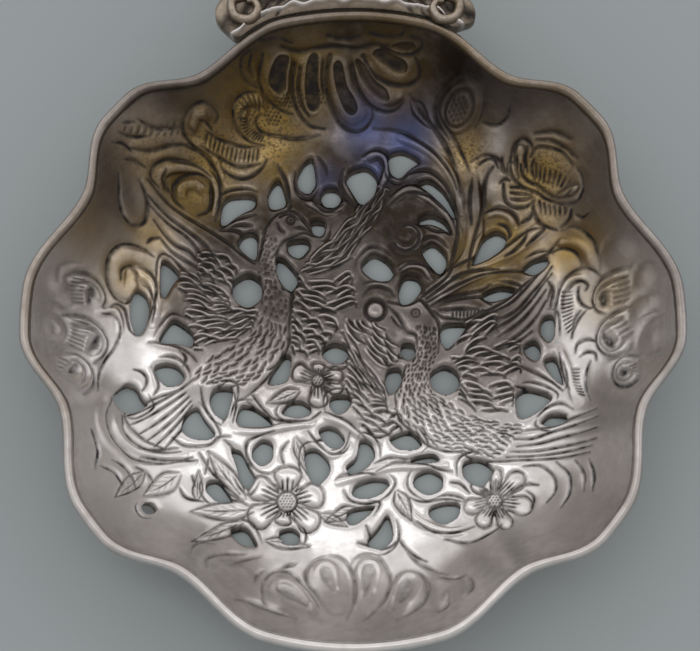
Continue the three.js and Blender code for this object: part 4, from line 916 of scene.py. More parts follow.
def leaf(relief, base, tip, width, height=0.2, is_petal=False):
    """Raised leaf or petal with its outline, its midrib and a few veins chased in."""
    base = np.array(base, float)
    along = np.array(tip, float) - base
    side = turned_left(along) / np.hypot(*along)
    profile = PETAL_PROFILE if is_petal else LEAF_PROFILE
    edges = []
    for way in (1, -1):
        edge = [base + along * part + side * way * width * half for part, half in profile]
        edges.append(smooth_line(edge + [base + along], 0.25))
    relief.dome(np.vstack([edges[0], edges[1][::-1]]), height, 0.3, is_fine=True)
    for edge in edges:
        relief.groove(edge, 0.19, 0.2, (0.4, 0.7), 0.8)
    if is_petal:
        return
    midrib = [base + 0.12 * along, base + 0.5 * along + side * 0.05 * width, base + 0.84 * along]
    relief.groove(midrib, 0.16, 0.12, (0.8, 0.1), 0.75)
    for part in (0.3, 0.48, 0.66):
        for way in (1, -1):
            root = base + along * (part - 0.1) + side * way * 0.05
            end = base + along * (part + 0.1) + side * way * width * 0.3
            relief.groove([root, end], 0.12, 0.06, (0.8, 0.1), 0.4)


def dots(relief, middle, radius, spacing, depth=0.12):
    """Stippled round patch, in rows a little closer than the dots in a row."""
    rows = int(radius / spacing) + 1
    for i in range(-rows, rows + 1):
        for j in range(-rows, rows + 1):
            spot = np.array([(i + 0.5 * (j % 2)) * spacing, j * spacing * DOT_ROWS])
            if np.hypot(*spot) <= radius:
                dot = np.array([spot - 0.02, spot, spot + 0.02]) + middle
                relief.groove(dot, 0.2, depth, (1, 1), 0.8)


def ring(relief, middle, radius, width, depth, dark=1.0):
    """Chased circle."""
    relief.groove(circle(middle, radius), width, depth, (1, 1), dark)


def flower(relief, middle, radius, petals):
    """Petals with strokes from the middle, round a stippled boss."""
    middle = np.array(middle, float)
    for x, y, width in petals:
        reach = np.array([x, y]) - middle
        away = reach / np.hypot(*reach)
        leaf(relief, middle + away * radius * 0.9, (x, y), width, 0.24, is_petal=True)
        for k in range(-2, 3):
            root = middle + away * radius + turned_left(away) * k * 0.16 * width
            end = middle + reach * (0.68 - 0.07 * abs(k)) + turned_left(away) * k * 0.2 * width
            relief.groove([root, end], 0.2, 0.16, (1, 0.1), 1.0)
    relief.dome(circle(middle, radius), 0.34, 0.3)
    ring(relief, middle, radius, 0.2, 0.2)
    dots(relief, middle, radius * 0.75, 0.3)


def shell(relief, outline, eye, near, far, ribs):
    """Shell on the wall: its curled edge, the rings round its dark eye, and the ribs beside it."""
    outline = smooth_line(outline, 0.4)
    middle = points_of(eye).mean(0)
    relief.groove(outline, 0.4, 0.3, (0.4, 0.3), 0.7)
    relief.ridge(outline * 0.8 + middle * 0.2, 0.3, 0.34)
    relief.groove(outline * 0.6 + middle * 0.4, 0.26, 0.2, (0.2, 0.2), 0.5)
    relief.ridge(outline * 0.42 + middle * 0.58, 0.28, 0.28)
    relief.groove(eye, 0.6, 0.36, (0.7, 0.5), 0.85)
    hatch(relief, near, far, ribs, 0.22, 0.6)


def hatch(relief, first, last, count, width=0.17, dark=0.95):
    """Short strokes from one line to another."""
    for a, b in zip(between(first, first, 0, count), between(last, last, 0, count)):
        relief.groove([a * 0.9 + b * 0.1, b * 0.9 + a * 0.1], width, 0.17, (0.9, 0.4), dark)


def feather_rows(relief, first, last, rows, strokes, random):
    """Overlapping feathers: rows of curved strokes, hooked at their ends, each with a bright lip."""
    lines = [between(first, last, k / (rows - 1)) for k in range(rows)]
    spacing = np.hypot(*(lines[1] - lines[0]).T).mean()
    for row, line in enumerate(lines):
        fine = smooth_line(line, 0.1)
        count = len(fine)
        toward = (lines[min(row + 1, rows - 1)] - lines[max(row - 1, 0)]).mean(0)
        toward = toward / (np.hypot(*toward) + SMALL)
        drift = random.uniform(-0.25, 0.25)
        for k in range(-1, strokes):
            start = (k + 0.5 * (row % 2) + drift + random.uniform(-0.12, 0.12)) / strokes
            reach = random.uniform(0.8, 1.15) / strokes
            shares = np.array([start, start + 0.3 * reach, start + 0.7 * reach, start + reach])
            if shares[-1] < 0.06 or shares[0] > 0.95:
                continue
            stroke = fine[np.clip(shares * (count - 1), 0, count - 1).astype(int)]
            hook = random.uniform(0.5, 0.85)
            stroke = stroke + np.outer([0.2, -0.15, -0.2, hook], toward) * spacing
            relief.groove(stroke, random.uniform(0.17, 0.26), 0.24, (0.15, 0.6), random.uniform(0.8, 1))
            relief.ridge(stroke - toward * 0.45 * spacing, 0.2, 0.2)


def stroke_field(relief, first, last, rows, strokes, length, dark, random):
    """Fine feathers of a breast or a neck: short strokes in staggered rows."""
    sides = [smooth_line(line, 0.1) for line in (first, last)]
    for row in range(rows):
        share = (row + 0.5) / rows
        a, b = [side[int(share * (len(side) - 1))] for side in sides]
        ahead = min(share + 0.06, 1)
        a2, b2 = [side[int(ahead * (len(side) - 1))] for side in sides]
        for k in range(strokes):
            across = (k + 0.25 + 0.5 * (row % 2) + random.uniform(-0.25, 0.25)) / strokes
            spot = a + (b - a) * across + random.uniform(-0.12, 0.12, 2)
            way = (a2 + (b2 - a2) * across) - spot
            way = way / (np.hypot(*way) + SMALL)
            side = turned_left(way)
            way = way + side * random.uniform(-0.25, 0.25)
            stroke = [spot, spot + way * length * 0.5 + side * 0.1 * length, spot + way * length]
            relief.groove(stroke, random.uniform(0.14, 0.2), 0.16, (0.3, 0.7), dark)


# The parts of the bowl's ornament

def draw_fans(relief):
    """The fans on the two end walls, with stippled ground and bosses by the north one."""
    for outline, darkness in NORTH_FAN_DROPS:
        relief.sink(outline, 0.3, darkness)
    for lobe in NORTH_FAN_LOBES:
        relief.dome(lobe, 0.36, 0.5)
    for lobe in SOUTH_FAN_LOBES:
        relief.dome(lobe, 0.36, 0.8)
    for core, loop in SOUTH_FAN_DROPS:
        relief.sink(core, 0.24, 0.42, 0.4)
        relief.ridge(loop, 0.42, 0.36)
    for spot in STIPPLED_SPOTS:
        dots(relief, spot, 0.8, 0.36, 0.1)
    relief.dome(circle(ROUND_BOSS, 1.9), 0.3, 0.5)
    ring(relief, ROUND_BOSS, 1.3, 0.24, 0.16, 0.7)
    relief.groove(circle(ROUND_BOSS, 2.2, -50, 230), 0.28, 0.2, (0.4, 0.4), 0.9)
    dots(relief, ROUND_BOSS, 1.0, 0.42, 0.08)


def draw_scrolls(relief):
    """Scrolls and stems, their hatched bands, the shells and the hair-like shading at the upper left."""
    for line in SCROLL_LINES:
        width = 0.25 + 0.08 * ease(points_of(line)[:, 1].mean() / 10)
        relief.groove(line, width, 0.24, (0.3, 0.3), 1.0)
    for line, width, height in SCROLL_BANDS:
        relief.ridge(line, width, height)
    relief.dome(circle(SCROLL_BOSS, 0.9), 0.25, 0.3)
    for band in HATCHED:
        hatch(relief, *band)
    for parts in SHELLS:
        shell(relief, *parts)
    for across, along, reach in FAINT_DOMES:
        relief.dome(circle((across, along), reach), 0.16, 0.7)
    for k in range(HAIR_STROKES):
        start = HAIR_START + k * np.array(HAIR_STEP)
        relief.groove([start, start + [0.35, 0.55], start + [0.45, 1.1]], 0.22, 0.1, (0.6, 0.1), 0.6)


def draw_plants(relief):
    """Petals of the peony, leaves and flowers."""
    for root, tip, width in PEONY_PETALS:
        leaf(relief, points_of(tip)[0], points_of(root)[0], width, 0.25, is_petal=True)
    for base, tip, width in LEAVES:
        leaf(relief, base, tip, width)
    for middle, radius, petals in FLOWERS:
        flower(relief, middle, radius, petals)


def draw_birds(relief):
    """Bodies, feathers and eyes of the two birds, and the berry."""
    random = np.random.RandomState(FEATHER_SEED)
    for body in BIRD_BODIES:
        relief.volume(body, 0.4)
    for band in FEATHER_ROWS:
        feather_rows(relief, *band, random)
    for field in STROKE_FIELDS:
        stroke_field(relief, *field, random)
    for eye in BIRD_EYES:
        ring(relief, eye, 0.36, 0.2, 0.16)
        ring(relief, eye, 0.06, 0.2, 0.14)
    relief.dome(circle(BERRY, 0.95), 0.45, 0.35)
    ring(relief, BERRY, 1.0, 0.26, 0.2)
    for line, width, depth in HOOD_LINES:
        relief.groove(line, width, depth)


def draw_opening_borders(relief):
    """Line along part of each opening that lies outside the birds, further round from one to the next."""
    for k, opening in enumerate(OPENINGS):
        if k in OPENINGS_IN_BIRDS:
            continue
        outline = opening_outline(opening)
        away = outline - outline.mean(0)
        border = np.roll(outline + BORDER_DISTANCE * away / np.hypot(*away.T)[:, None], -BORDER_SHIFT * k, 0)
        relief.groove(border[:len(border) * 2 // 5:3], 0.22, 0.2, (0.1, 0.1), 0.9)


def draw_bowl(relief):
    """All the chasing of the bowl."""
    for lines, width, depth, ends, dark in LINE_GROUPS:
        for line in lines:
            relief.groove(line, width, depth, ends, dark)
    draw_fans(relief)
    draw_scrolls(relief)
    draw_plants(relief)
    draw_birds(relief)
    draw_opening_borders(relief)


# Meshes

# Corners (0 to 3) and crossed edges (4 to 7) of each way in which a grid cell is cut, anticlockwise
CELL_SHAPES = {
    1: [(0, 4, 7)],
    2: [(1, 5, 4)],
    3: [(0, 1, 5, 7)],
    4: [(2, 6, 5)],
    5: [(0, 4, 7), (2, 6, 5)],
    6: [(1, 2, 6, 4)],
    7: [(0, 1, 2, 6, 7)],
    8: [(3, 7, 6)],
    9: [(0, 4, 6, 3)],
    10: [(1, 5, 4), (3, 7, 6)],
    11: [(0, 1, 5, 6, 3)],
    12: [(2, 3, 7, 5)],
    13: [(0, 4, 5, 2, 3)],
    14: [(1, 2, 3, 7, 4)],
    15: [(0, 1, 2, 3)],
}
# A cut edge keeps this share of its length free at both ends, so that no face gets too thin
LEAST_SHARE = 0.03

# Flat map for baking: its margin, the width of one side of the plate, and the strip of sawn edges
MAP_MARGIN = 0.005
SIDE_WIDTH = 0.48
STRIP_START = 0.62
EDGES_PER_ROW = 160


def new_object(name, points, smooth, flat, finish_and_shade, uvs=None):
    """Object from points in millimetres and groups of faces, each group with one number of corners."""
    mesh = bpy.data.meshes.new(name)
    groups = [np.asarray(group) for group in smooth + flat if len(group)]
    loops = np.concatenate([group.ravel() for group in groups])
    sizes = np.concatenate([np.full(len(group), group.shape[1]) for group in groups])
    mesh.vertices.add(len(points))
    mesh.vertices.foreach_set("co", (points * MM).astype(np.float32).ravel())
    mesh.loops.add(len(loops))
    mesh.loops.foreach_set("vertex_index", loops.astype(np.int32))
    mesh.polygons.add(len(sizes))
    mesh.polygons.foreach_set("loop_start", np.r_[0, np.cumsum(sizes)[:-1]].astype(np.int32))
    mesh.update(calc_edges=True)
    smooth_count = sum(len(group) for group in smooth)
    mesh.polygons.foreach_set("use_smooth", np.arange(len(sizes)) < smooth_count)
    attribute = mesh.attributes.new("finish_and_shade", "FLOAT_COLOR", "POINT")
    attribute.data.foreach_set("color", finish_and_shade.astype(np.float32).ravel())
    if uvs is not None:
        layer = mesh.uv_layers.new(name="OFBake")
        layer.uv.foreach_set("vector", uvs.astype(np.float32).ravel())
    mesh.update()
    thing = bpy.data.objects.new(name, mesh)
    bpy.context.scene.collection.objects.link(thing)
    return thing


def plate(name, solid, top, bottom, finish_top, finish_bottom):
    """Plate with openings. solid is positive on metal; the rest holds a value for each cell corner."""
    layers = np.concatenate([top, bottom, finish_top, finish_bottom], 2)
    rows, columns = solid.shape
    is_in = solid > 0
    node = np.cumsum(is_in.ravel()).reshape(is_in.shape) - 1
    values = [layers[is_in]]
    total = int(is_in.sum())
    crossing = []
    for shift in ((0, 1), (1, 0)):
        here = (slice(0, rows - shift[0]), slice(0, columns - shift[1]))
        there = (slice(shift[0], rows), slice(shift[1], columns))
        crosses = is_in[here] != is_in[there]
        a, b = solid[here][crosses], solid[there][crosses]
        t = np.clip(a / (a - b), LEAST_SHARE, 1 - LEAST_SHARE)[:, None]
        index = np.full(crosses.shape, -1)
        index[crosses] = total + np.arange(crosses.sum())
        total += int(crosses.sum())
        crossing.append(index)
        values.append(layers[here][crosses] * (1 - t) + layers[there][crosses] * t)
    upper, sides = plate_faces(is_in, node, *crossing)
    lower = [group[:, ::-1] + total for group in upper]
    sides = np.stack([sides[:, 1], sides[:, 0], sides[:, 0] + total, sides[:, 1] + total], 1)
    values = np.vstack(values)
    points = np.vstack([values[:, 0:3], values[:, 3:6]])
    finish_and_shade = np.vstack([values[:, 6:10], values[:, 10:14]])
    uvs = plate_uvs(points, total, upper, lower, len(sides))
    return new_object(name, points, upper + lower, [sides], finish_and_shade, uvs)


def plate_faces(is_in, node, across, up):
    """Faces of the upper side, in groups by their number of corners, and the edges of the metal."""
    corner = [is_in[:-1, :-1], is_in[:-1, 1:], is_in[1:, 1:], is_in[1:, :-1]]
    kind = sum(c.astype(int) << k for k, c in enumerate(corner))
    marks = [node[:-1, :-1], node[:-1, 1:], node[1:, 1:], node[1:, :-1],
             across[:-1, :], up[:, 1:], across[1:, :], up[:, :-1]]
    faces = {3: [], 4: [], 5: []}
    edges = []
    for case, shapes in CELL_SHAPES.items():
        cells = kind == case
        for shape in shapes:
            faces[len(shape)].append(np.stack([marks[k][cells] for k in shape], 1))
            for a, b in zip(shape, shape[1:] + shape[:1]):
                if a > 3 and b > 3:
                    edges.append(np.stack([marks[a][cells], marks[b][cells]], 1))
    return [np.vstack(group) for group in faces.values()], np.vstack(edges)


def plate_uvs(points, total, upper, lower, side_count):
    """Flat map for baking: the front at the left, the back at the right, the sawn edges in a strip."""
    low = points[:total].min(0)[:2]
    span = (points[:total].max(0)[:2] - low).max()
    flat = (points[:, :2] - low) * (SIDE_WIDTH / span)
    front = flat[np.concatenate([group.ravel() for group in upper])] + MAP_MARGIN
    back = flat[np.concatenate([group.ravel() for group in lower])]
    back = np.stack([1 - MAP_MARGIN - back[:, 0], back[:, 1] + MAP_MARGIN], 1)
    cell = (1 - 2 * MAP_MARGIN) / EDGES_PER_ROW
    k = np.arange(side_count)
    corner = np.stack([(k % EDGES_PER_ROW) * cell + MAP_MARGIN,
                       STRIP_START + (k // EDGES_PER_ROW) * cell * 0.9], 1)
    square = np.array([[0, 0], [1, 0], [1, 1], [0, 1]]) * cell * 0.8
    strip = (corner[:, None, :] + square[None]).reshape(-1, 2)
    return np.vstack([front, back, strip])


def skin(name, rows, is_ring, finish_and_shade):
    """Skin over rows of closed rings of points, in a ring or with closed ends."""
    rows = np.asarray(rows, float)
    count, around = rows.shape[:2]
    i = np.arange(count if is_ring else count - 1)[:, None]
    j = np.arange(around)[None]
    near, far = i * around, ((i + 1) % count) * around
    nxt = (j + 1) % around
    quads = np.stack([near + j, near + nxt, far + nxt, far + j], 2).reshape(-1, 4)
    ends = []
    if not is_ring:
        ends = [np.arange(around)[::-1][None], (np.arange(around) + (count - 1) * around)[None]]
    points = rows.reshape(-1, 3)
    corners = points[quads]
    volume = np.einsum("ij,ij->i", corners[:, 0], np.cross(corners[:, 1], corners[:, 2])).sum()
    if volume < 0:
        quads = quads[:, ::-1]
        ends = [end[:, ::-1] for end in ends]
    return new_object(name, points, [quads], ends, np.vstack(finish_and_shade))


# Finish of the silver, kept at each point: tarnish and painted shade in the low places, warm tint,
# cool tint (both partly painted reflection), and tarnish with painted shade all over

# How wide round a point its ground is taken, how far below it tarnish is full, and how dark that is
GROUND_REACH = 0.3
FULL_TARNISH_DEPTH = 0.14
LOW_TARNISH = 0.6
# Height above the ground over which the silver gets worn, and the share of it at which this starts
WORN_HEIGHT = 0.07
WEAR_START = 0.3


def finish_layers(low, warm, cool, tarnish_and_shade):
    """The four values of the finish in one array. Any of them may be a single number."""
    return np.stack(np.broadcast_arrays(low, warm, cool, tarnish_and_shade), -1)


def finish_of(relief, height, warm, cool, tarnish_and_shade, wear):
    """Tarnish held in the low places of the relief, with any painted shade added there, worn off the high
    ones, and its tints.
    """
    ground = blur(height, GROUND_REACH)
    low = np.clip((ground - height) / FULL_TARNISH_DEPTH, 0, 1)
    dark = np.clip(np.maximum(relief.dark, LOW_TARNISH * low), 0, 1)
    worn = np.clip((height - ground) / WORN_HEIGHT - WEAR_START, 0, 1)
    return finish_layers(dark, warm, cool, tarnish_and_shade * (1 - wear * worn))


def blobs(x, y, patches):
    """Highest of some soft round patches, from 0 to 1."""
    total = np.zeros_like(x)
    for across, along, reach, strength in patches:
        total = np.maximum(total, strength * np.exp(-((x - across) ** 2 + (y - along) ** 2) / reach ** 2))
    return total


# The bowl

# How far the lower edge of a sawn opening lies nearer the bowl's free end than the upper one, and
# the distances from the bowl's middle at which this is in full and has gone
SAW_LEAN = 0.42
LEAN_FULL = 21.5
LEAN_END = 24.5
# How deep and how far in the edges of the openings are rounded
EDGE_ROUNDING = 0.2
# How far from an edge the solid field goes on rising
FIELD_LIMIT = 0.9
# Reach of the soft bend between the floor and the wall, and how far it is blurred
BEND_REACH = 1.8
BEND_BLUR = 0.9
# The relief starts this far from the bowl's edge and is in full this much further on
RELIEF_START = 0.5
RELIEF_RUN = 1.2
# Metal nearer than this to the bowl's edge has no opening, and stays sharp under the wire
OPENINGS_START = 1
# How softly the birds' bodies stand up from the ground
SWELL_BLUR = 0.7
# Share of the relief that shows on the underside, and how far it is blurred
UNDERSIDE_SHARE = 0.35
UNDERSIDE_BLUR = 0.3
# Shares of the wall at which the underside starts to turn level under the wire, and in which it does
LEVEL_START = 0.8
LEVEL_RUN = 0.2
# Waves of the hammered sheet: how many, their height in millimetres, radians for each millimetre,
# and the furthest that one is moved along, in radians
HAMMER_SEED = 3
HAMMER_WAVES = 16
HAMMER_HEIGHT = 0.007
HAMMER_PITCH = (0.6, 1.7)
HAMMER_OFFSET = 6.3
# Tarnish and painted shade in the gap under the wire: its reach, its least strength, and where it is
# deepest, in degrees
GAP_REACH = 0.22
GAP_LEAST = 0.35
GAP_TURN = -33
GAP_SPREAD = 16


def solid_field(relief, edge):
    """Distance to the nearest edge of the metal, negative outside it, near the edges."""
    solid = np.minimum(edge, FIELD_LIMIT)
    for opening in OPENINGS:
        part, signed = relief.inside(opening_outline(opening))
        solid[part] = np.minimum(solid[part], -signed)
    return solid


def softened_base(x, y, radius):
    """Inside of the bowl, before chasing, with a soft bend between the floor and the wall."""
    base = bowl_height(x, y)
    return base + bell(radius - FLOOR_RADIUS, BEND_REACH) * (blur(base, BEND_BLUR) - base)


def grid_normals(height):
    """Directions square to a surface over the grid."""
    slope_y, slope_x = np.gradient(height, GRID_STEP)
    normal = np.stack([-slope_x, -slope_y, np.ones_like(height)], 2)
    return normal / np.linalg.norm(normal, axis=2, keepdims=True)


def hand_made(x, y):
    """Slight unevenness of hammered sheet: waves of a few millimetres in all directions."""
    random = np.random.RandomState(HAMMER_SEED)
    total = np.zeros_like(x)
    for _ in range(HAMMER_WAVES):
        way = random.uniform(0, 2 * np.pi)
        pitch = random.uniform(*HAMMER_PITCH)
        wave = pitch * (x * np.cos(way) + y * np.sin(way)) + random.uniform(0, HAMMER_OFFSET)
        total += HAMMER_HEIGHT * np.sin(wave) / pitch
    return total


def bowl_underside(flat, normal, radius, climb, embossed):
    """Underside of the sheet, with the relief showing faintly and a level edge under the wire."""
    level = ease((climb - LEVEL_START) / LEVEL_RUN)
    outward = normal * np.stack(np.broadcast_arrays(1, 1, 1 - level), 2)
    outward = outward / np.linalg.norm(outward, axis=2, keepdims=True)
    bottom = flat - outward * SHEET
    bottom[..., 1] -= SAW_LEAN * ease((LEAN_END - radius) / (LEAN_END - LEAN_FULL))
    bottom[..., 2] = np.maximum(bottom[..., 2] + UNDERSIDE_SHARE * embossed * (climb < 1), 0)
    return bottom


def bowl_tarnish_and_shade(x, y, radius):
    """Tarnish and painted shade all over: least at the bowl's free end, most on the wall by the handle, with
    painted light in some patches.
    """
    # Painted shade with tarnish: darker towards the handle and up the walls, lighter at the free end
    on_floor = 0.94 * ease((y + 14) / 20) + 0.08 * ease((x - 1) / 6) * ease((y - 4) / 6)
    on_wall = 0.17 + 0.5 * ease((y + 4) / 26) + 0.32 * ease((y - 18) / 8) + 0.12 * ease((-y - 8) / 14)
    darkening = on_floor + (on_wall - on_floor) * ease((radius - 16) / 5)
    return np.clip(darkening + blobs(x, y, DARK_PATCHES) - blobs(x, y, PAINTED_LIGHT_PATCHES), 0, 1)


def underside_finish(solid, edge, embossed):
    """Finish of the underside: tarnish in its low places, and painted shade on the sawn edges of the
    openings.
    """
    patina_and_shade = np.clip(0.12 + 0.6 * (blur(embossed, 0.6) - embossed) / 0.1, 0, 0.6)
    # Painted shade on the sawn edges of the openings, where shadow falls in them
    patina_and_shade = np.maximum(patina_and_shade, 1.2 * near_edge(solid, 0.3) * (edge > OPENINGS_START))
    return finish_layers(np.clip(patina_and_shade, 0, 1), 0.25, 0, 0.5)


def make_bowl():
    """The chased and pierced sheet."""
    reach = BOWL_RADIUS + 0.5
    relief = Relief((-reach, -reach), (reach, reach))
    x, y = relief.x, relief.y
    draw_bowl(relief)
    turn = np.degrees(np.arctan2(x, y))
    radius = np.hypot(x, y)
    top_radius = bowl_top_radius(turn)
    climb = np.clip((radius - FLOOR_RADIUS) / (top_radius - FLOOR_RADIUS), 0, 1)
    edge = top_radius - radius
    solid = solid_field(relief, edge)
    base = softened_base(x, y, radius)
    calm = np.clip((edge - RELIEF_START) / RELIEF_RUN, 0, 1)
    rounding = EDGE_ROUNDING * near_edge(solid, EDGE_ROUNDING) * (edge > OPENINGS_START)
    height = relief.chased() * calm - rounding
    height = height + (blur(relief.swell, SWELL_BLUR) + hand_made(x, y)) * calm
    flat = np.stack([x, y, base], 2)
    normal = grid_normals(base)
    top = flat + normal * height[..., None]
    embossed = blur(relief.raised - relief.groove_field, UNDERSIDE_BLUR) * calm
    embossed = embossed - embossed.min()
    bottom = bowl_underside(flat, normal, radius, climb, embossed)
    # Painted shade with tarnish along the gap under the wire, deepest at the upper left
    gap = near_edge(edge, GAP_REACH) * (GAP_LEAST + (1 - GAP_LEAST) * bell(turn - GAP_TURN, GAP_SPREAD))
    relief.dark = np.maximum(relief.dark, gap)
    warm, cool = blobs(x, y, WARM_PATCHES), blobs(x, y, COOL_PATCHES)
    wear = 0.5 - 0.25 * ease(y / 14)
    finish_and_shade = finish_of(relief, height, warm, cool, bowl_tarnish_and_shade(x, y, radius), wear)
    below = underside_finish(solid, edge, embossed)
    return plate("bowl_chased", solid, top, bottom, finish_and_shade, below)


# The rim wire

RIM_STEPS = 720
HALF_ROUND = np.radians(np.linspace(0, 180, 17))
# The wire's top is a little low on the whole, and uneven: height, waves round the rim, and offset
WIRE_LOW = 0.05
WIRE_WAVES = ((0.03, 7, 0), (0.02, 23, 40))
# How round the wire is: less than 1 makes its top flatter
WIRE_ROUNDNESS = 0.9


def rim_finish(turn):
    """Finish across the wire in one direction: tarnish at its foot, and tarnish with painted shade inside,
    at the sides and towards the handle.
    """
    east, north = heading(turn)
    toward_handle = 0.5 + 0.5 * north
    inner = ease((np.degrees(HALF_ROUND) - 50) / 90)
    foot = np.clip(1 - np.sin(HALF_ROUND) * 1.6, 0, 1) * (0.3 + 0.5 * inner)
    wear = 0.5 + 0.5 * math.sin(math.radians(turn * 3 + 20))
    # Painted shade with tarnish: darker inside, at the sides and towards the handle
    tarnish_and_shade = 0.01 + 0.55 * toward_handle ** 4 + 0.3 * east ** 2 + (0.1 + 0.26 * toward_handle) * inner
    return finish_layers(foot, (0.05 + 0.2 * wear) * toward_handle, 0, tarnish_and_shade)


def make_rim_wire():
    """Half-round wire round the bowl's edge, a little uneven."""
    rows = []
    finishes = []
    for k in range(RIM_STEPS):
        turn = 360 * k / RIM_STEPS
        outer = float(rim_radius((turn + 180) % 360 - 180))
        hand = sum(rise * math.sin(math.radians(turn * waves + offset))
                   for rise, waves, offset in WIRE_WAVES)
        radius = outer - WIRE_WIDTH / 2 + WIRE_WIDTH / 2 * np.cos(HALF_ROUND)
        height = EDGE_HEIGHT + (WIRE_HEIGHT - WIRE_LOW + hand) * np.sin(HALF_ROUND) ** WIRE_ROUNDNESS
        east, north = heading(turn)
        rows.append(np.stack([radius * east, radius * north, height], 1))
        finishes.append(rim_finish(turn))
    return skin("rim_bead", rows, True, finishes)


# The shoulder and the handle, in millimetres, the same outlines as the CAD model's
CLEARANCE = 0.3
HANDLE_OFFSET = -0.7
SHOULDER_THICKNESS = 2.3
SHOULDER_TOP = BOWL_HEIGHT + 0.4
SHOULDER_UNDERSIDE = SHOULDER_TOP - SHOULDER_THICKNESS
SHOULDER_BEVEL = 0.4
SHOULDER_HALF_WIDTH = 11.6
SHOULDER_LENGTH = 8.4
NECK_HALF_WIDTH = 3.9
SCROLL_WIDTH = 0.9
SCROLL_HEIGHT = 0.6
SCROLL_INSET = 1.1
VOLUTE_RADIUS = 1.5
SOLDER_PLACE = 0.85
HANDLE_LENGTH = 38.0
HANDLE_RISE = 7.5
HANDLE_PLATE = 0.8
HANDLE_CROWN = 1.5
HANDLE_LIP = 0.4
TONGUE_HALF_WIDTH = 3.0
SHOULDER_END = RIM_END + SHOULDER_LENGTH
HANDLE_START = SHOULDER_END + SHOULDER_BEVEL + CLEARANCE
# Share of the handle's length in which it climbs, as part of a soft step
CLIMB_SHARE = 0.8
# Softened edge of the back plate
SOFT_EDGE = 0.16
# A margin round an outline that takes in the whole grid
WHOLE_GRID = 60

# Half width of the handle at shares of its length
HANDLE_WIDTHS = [
    (0, 3.9), (0.1, 2.9), (0.21, 2.7), (0.31, 3.7), (0.38, 4.6), (0.45, 4.2), (0.55, 5.6),
    (0.67, 7.3), (0.75, 6.7), (0.83, 7.0), (0.91, 6.0), (0.97, 3.3), (1, 0.9),
]

# Chased lines and leaves of the shoulder, on the right of its middle and again on the left
SHOULDER_LINES = [
    "0.0,37.6 0.9,36.0 1.2,34.2 0.9,32.6 0.0,31.4",
    "2.9,36.9 2.4,35.2 2.6,33.6 3.9,32.2 5.4,31.6",
    "2.0,37.6 1.9,36.0 2.2,34.2",
    "1.9,32.4 3.0,31.4 4.4,30.9 5.8,30.4 6.6,29.6",
    "4.8,30.6 5.8,29.6 6.4,28.8",
    "6.4,31.0 7.2,30.2 7.6,29.2",
    "9.2,29.0 9.6,28.4 10.2,28.2",
]
SHOULDER_LEAVES = [
    ((1.4, 33.2), (3.8, 36.2), 1.2),
    ((4.2, 31.9), (7.6, 31.2), 1.1),
    ((3.2, 32.6), (3.4, 30.6), 1.0),
    ((7.0, 29.9), (8.4, 28.4), 0.9),
]
# The small palmette at the shoulder's front: where it starts, its leaves' directions in degrees
# from the handle, where they start and end round that point, their width and their height
SHOULDER_PALMETTE = (HANDLE_OFFSET, 30.6)
PALMETTE_TURNS = range(-60, 61, 20)
PALMETTE_REACH = (0.3, 2.0)
PALMETTE_WIDTH = 0.75
PALMETTE_HEIGHT = 0.2

# How low the chased surface of the shoulder lies, and how deep and how far in its edge is rounded
SHOULDER_LOW = 0.22
SHOULDER_ROUNDING = 0.35
SHOULDER_ROUNDING_REACH = 0.3
# Nothing on the shoulder stands higher than this
SHOULDER_LIMIT = 0.25
# The bead of solder along the rim, and the recess beyond it
BEAD_REACH = 0.2
BEAD_HEIGHT = 0.45
RECESS_DISTANCE = 1.1
RECESS_REACH = 0.7
RECESS_DEPTH = 0.2
# Depth of the chased lines of the shoulder and the handle
LINE_DEPTH = 0.28

# Shares of the shoulder's edge along which its moulding runs, and the turns of the volute in
# degrees with shares of its radius
MOULDING_SHARES = (0.82, 0.68, 0.54, 0.4)
VOLUTE_TURNS = ((20, 1), (-40, 1), (-100, 0.86), (-160, 0.66), (-220, 0.5), (-280, 0.36))
MOULDING_SECTION = np.radians(np.linspace(0, 180, 13))
MOULDING_BEADS = 17
# How far the moulding is sunk in the shoulder
MOULDING_DEPTH = 0.3

# Chased lines and leaves of the handle, on the right of its middle and again on the left
HANDLE_LINES = [
    "2.5,39.6 2.1,42.0 1.8,45.0 2.1,48.6 2.9,51.8 3.0,54.2 2.2,55.4 1.3,54.9 1.3,53.8 2.0,53.6",
    "0.5,40.0 0.6,42.4 0.4,44.0",
    "1.2,39.8 1.3,42.2 1.0,44.6",
    "3.9,55.6 4.9,58.6 6.0,61.8 6.2,64.6 5.4,66.8 4.1,67.2 3.3,66.2 3.8,65.1 4.7,65.3",
    "3.1,56.6 4.0,58.8 5.0,61.4",
    "5.9,67.8 6.0,70.0 5.0,72.2 3.6,73.1 2.5,72.4 2.7,71.2 3.7,71.1",
    "1.7,75.0 3.0,74.4",
]
HANDLE_LEAVES = [
    ((0.6, 46.0), (1.7, 50.4), 1.0),
    ((0.8, 53.0), (2.6, 57.6), 1.2),
    ((3.0, 68.6), (1.2, 65.6), 1.1),
]
# The handle's middle leaf, its flower with the petals' directions, reach and width, and its shell
MIDDLE_LEAF = ((HANDLE_OFFSET, 44.4), (HANDLE_OFFSET, 52.6), 2.2)
HANDLE_FLOWER = (HANDLE_OFFSET, 61.2)
PETAL_TURNS = range(0, 360, 60)
PETAL_REACH = 3.1
PETAL_WIDTH = 2.1
HANDLE_SHELL = (HANDLE_OFFSET, 68.6)
SHELL_TURNS = range(-66, 67, 22)
SHELL_WIDTH = 1.6
SHELL_HEIGHT = 0.3
# The line round the handle: its distance from the edge, its width, its depth and its darkness
LINE_PLACE = 0.75
LINE_WIDTH = 0.16
LINE_SUNK = 0.16
LINE_DARK = 0.8
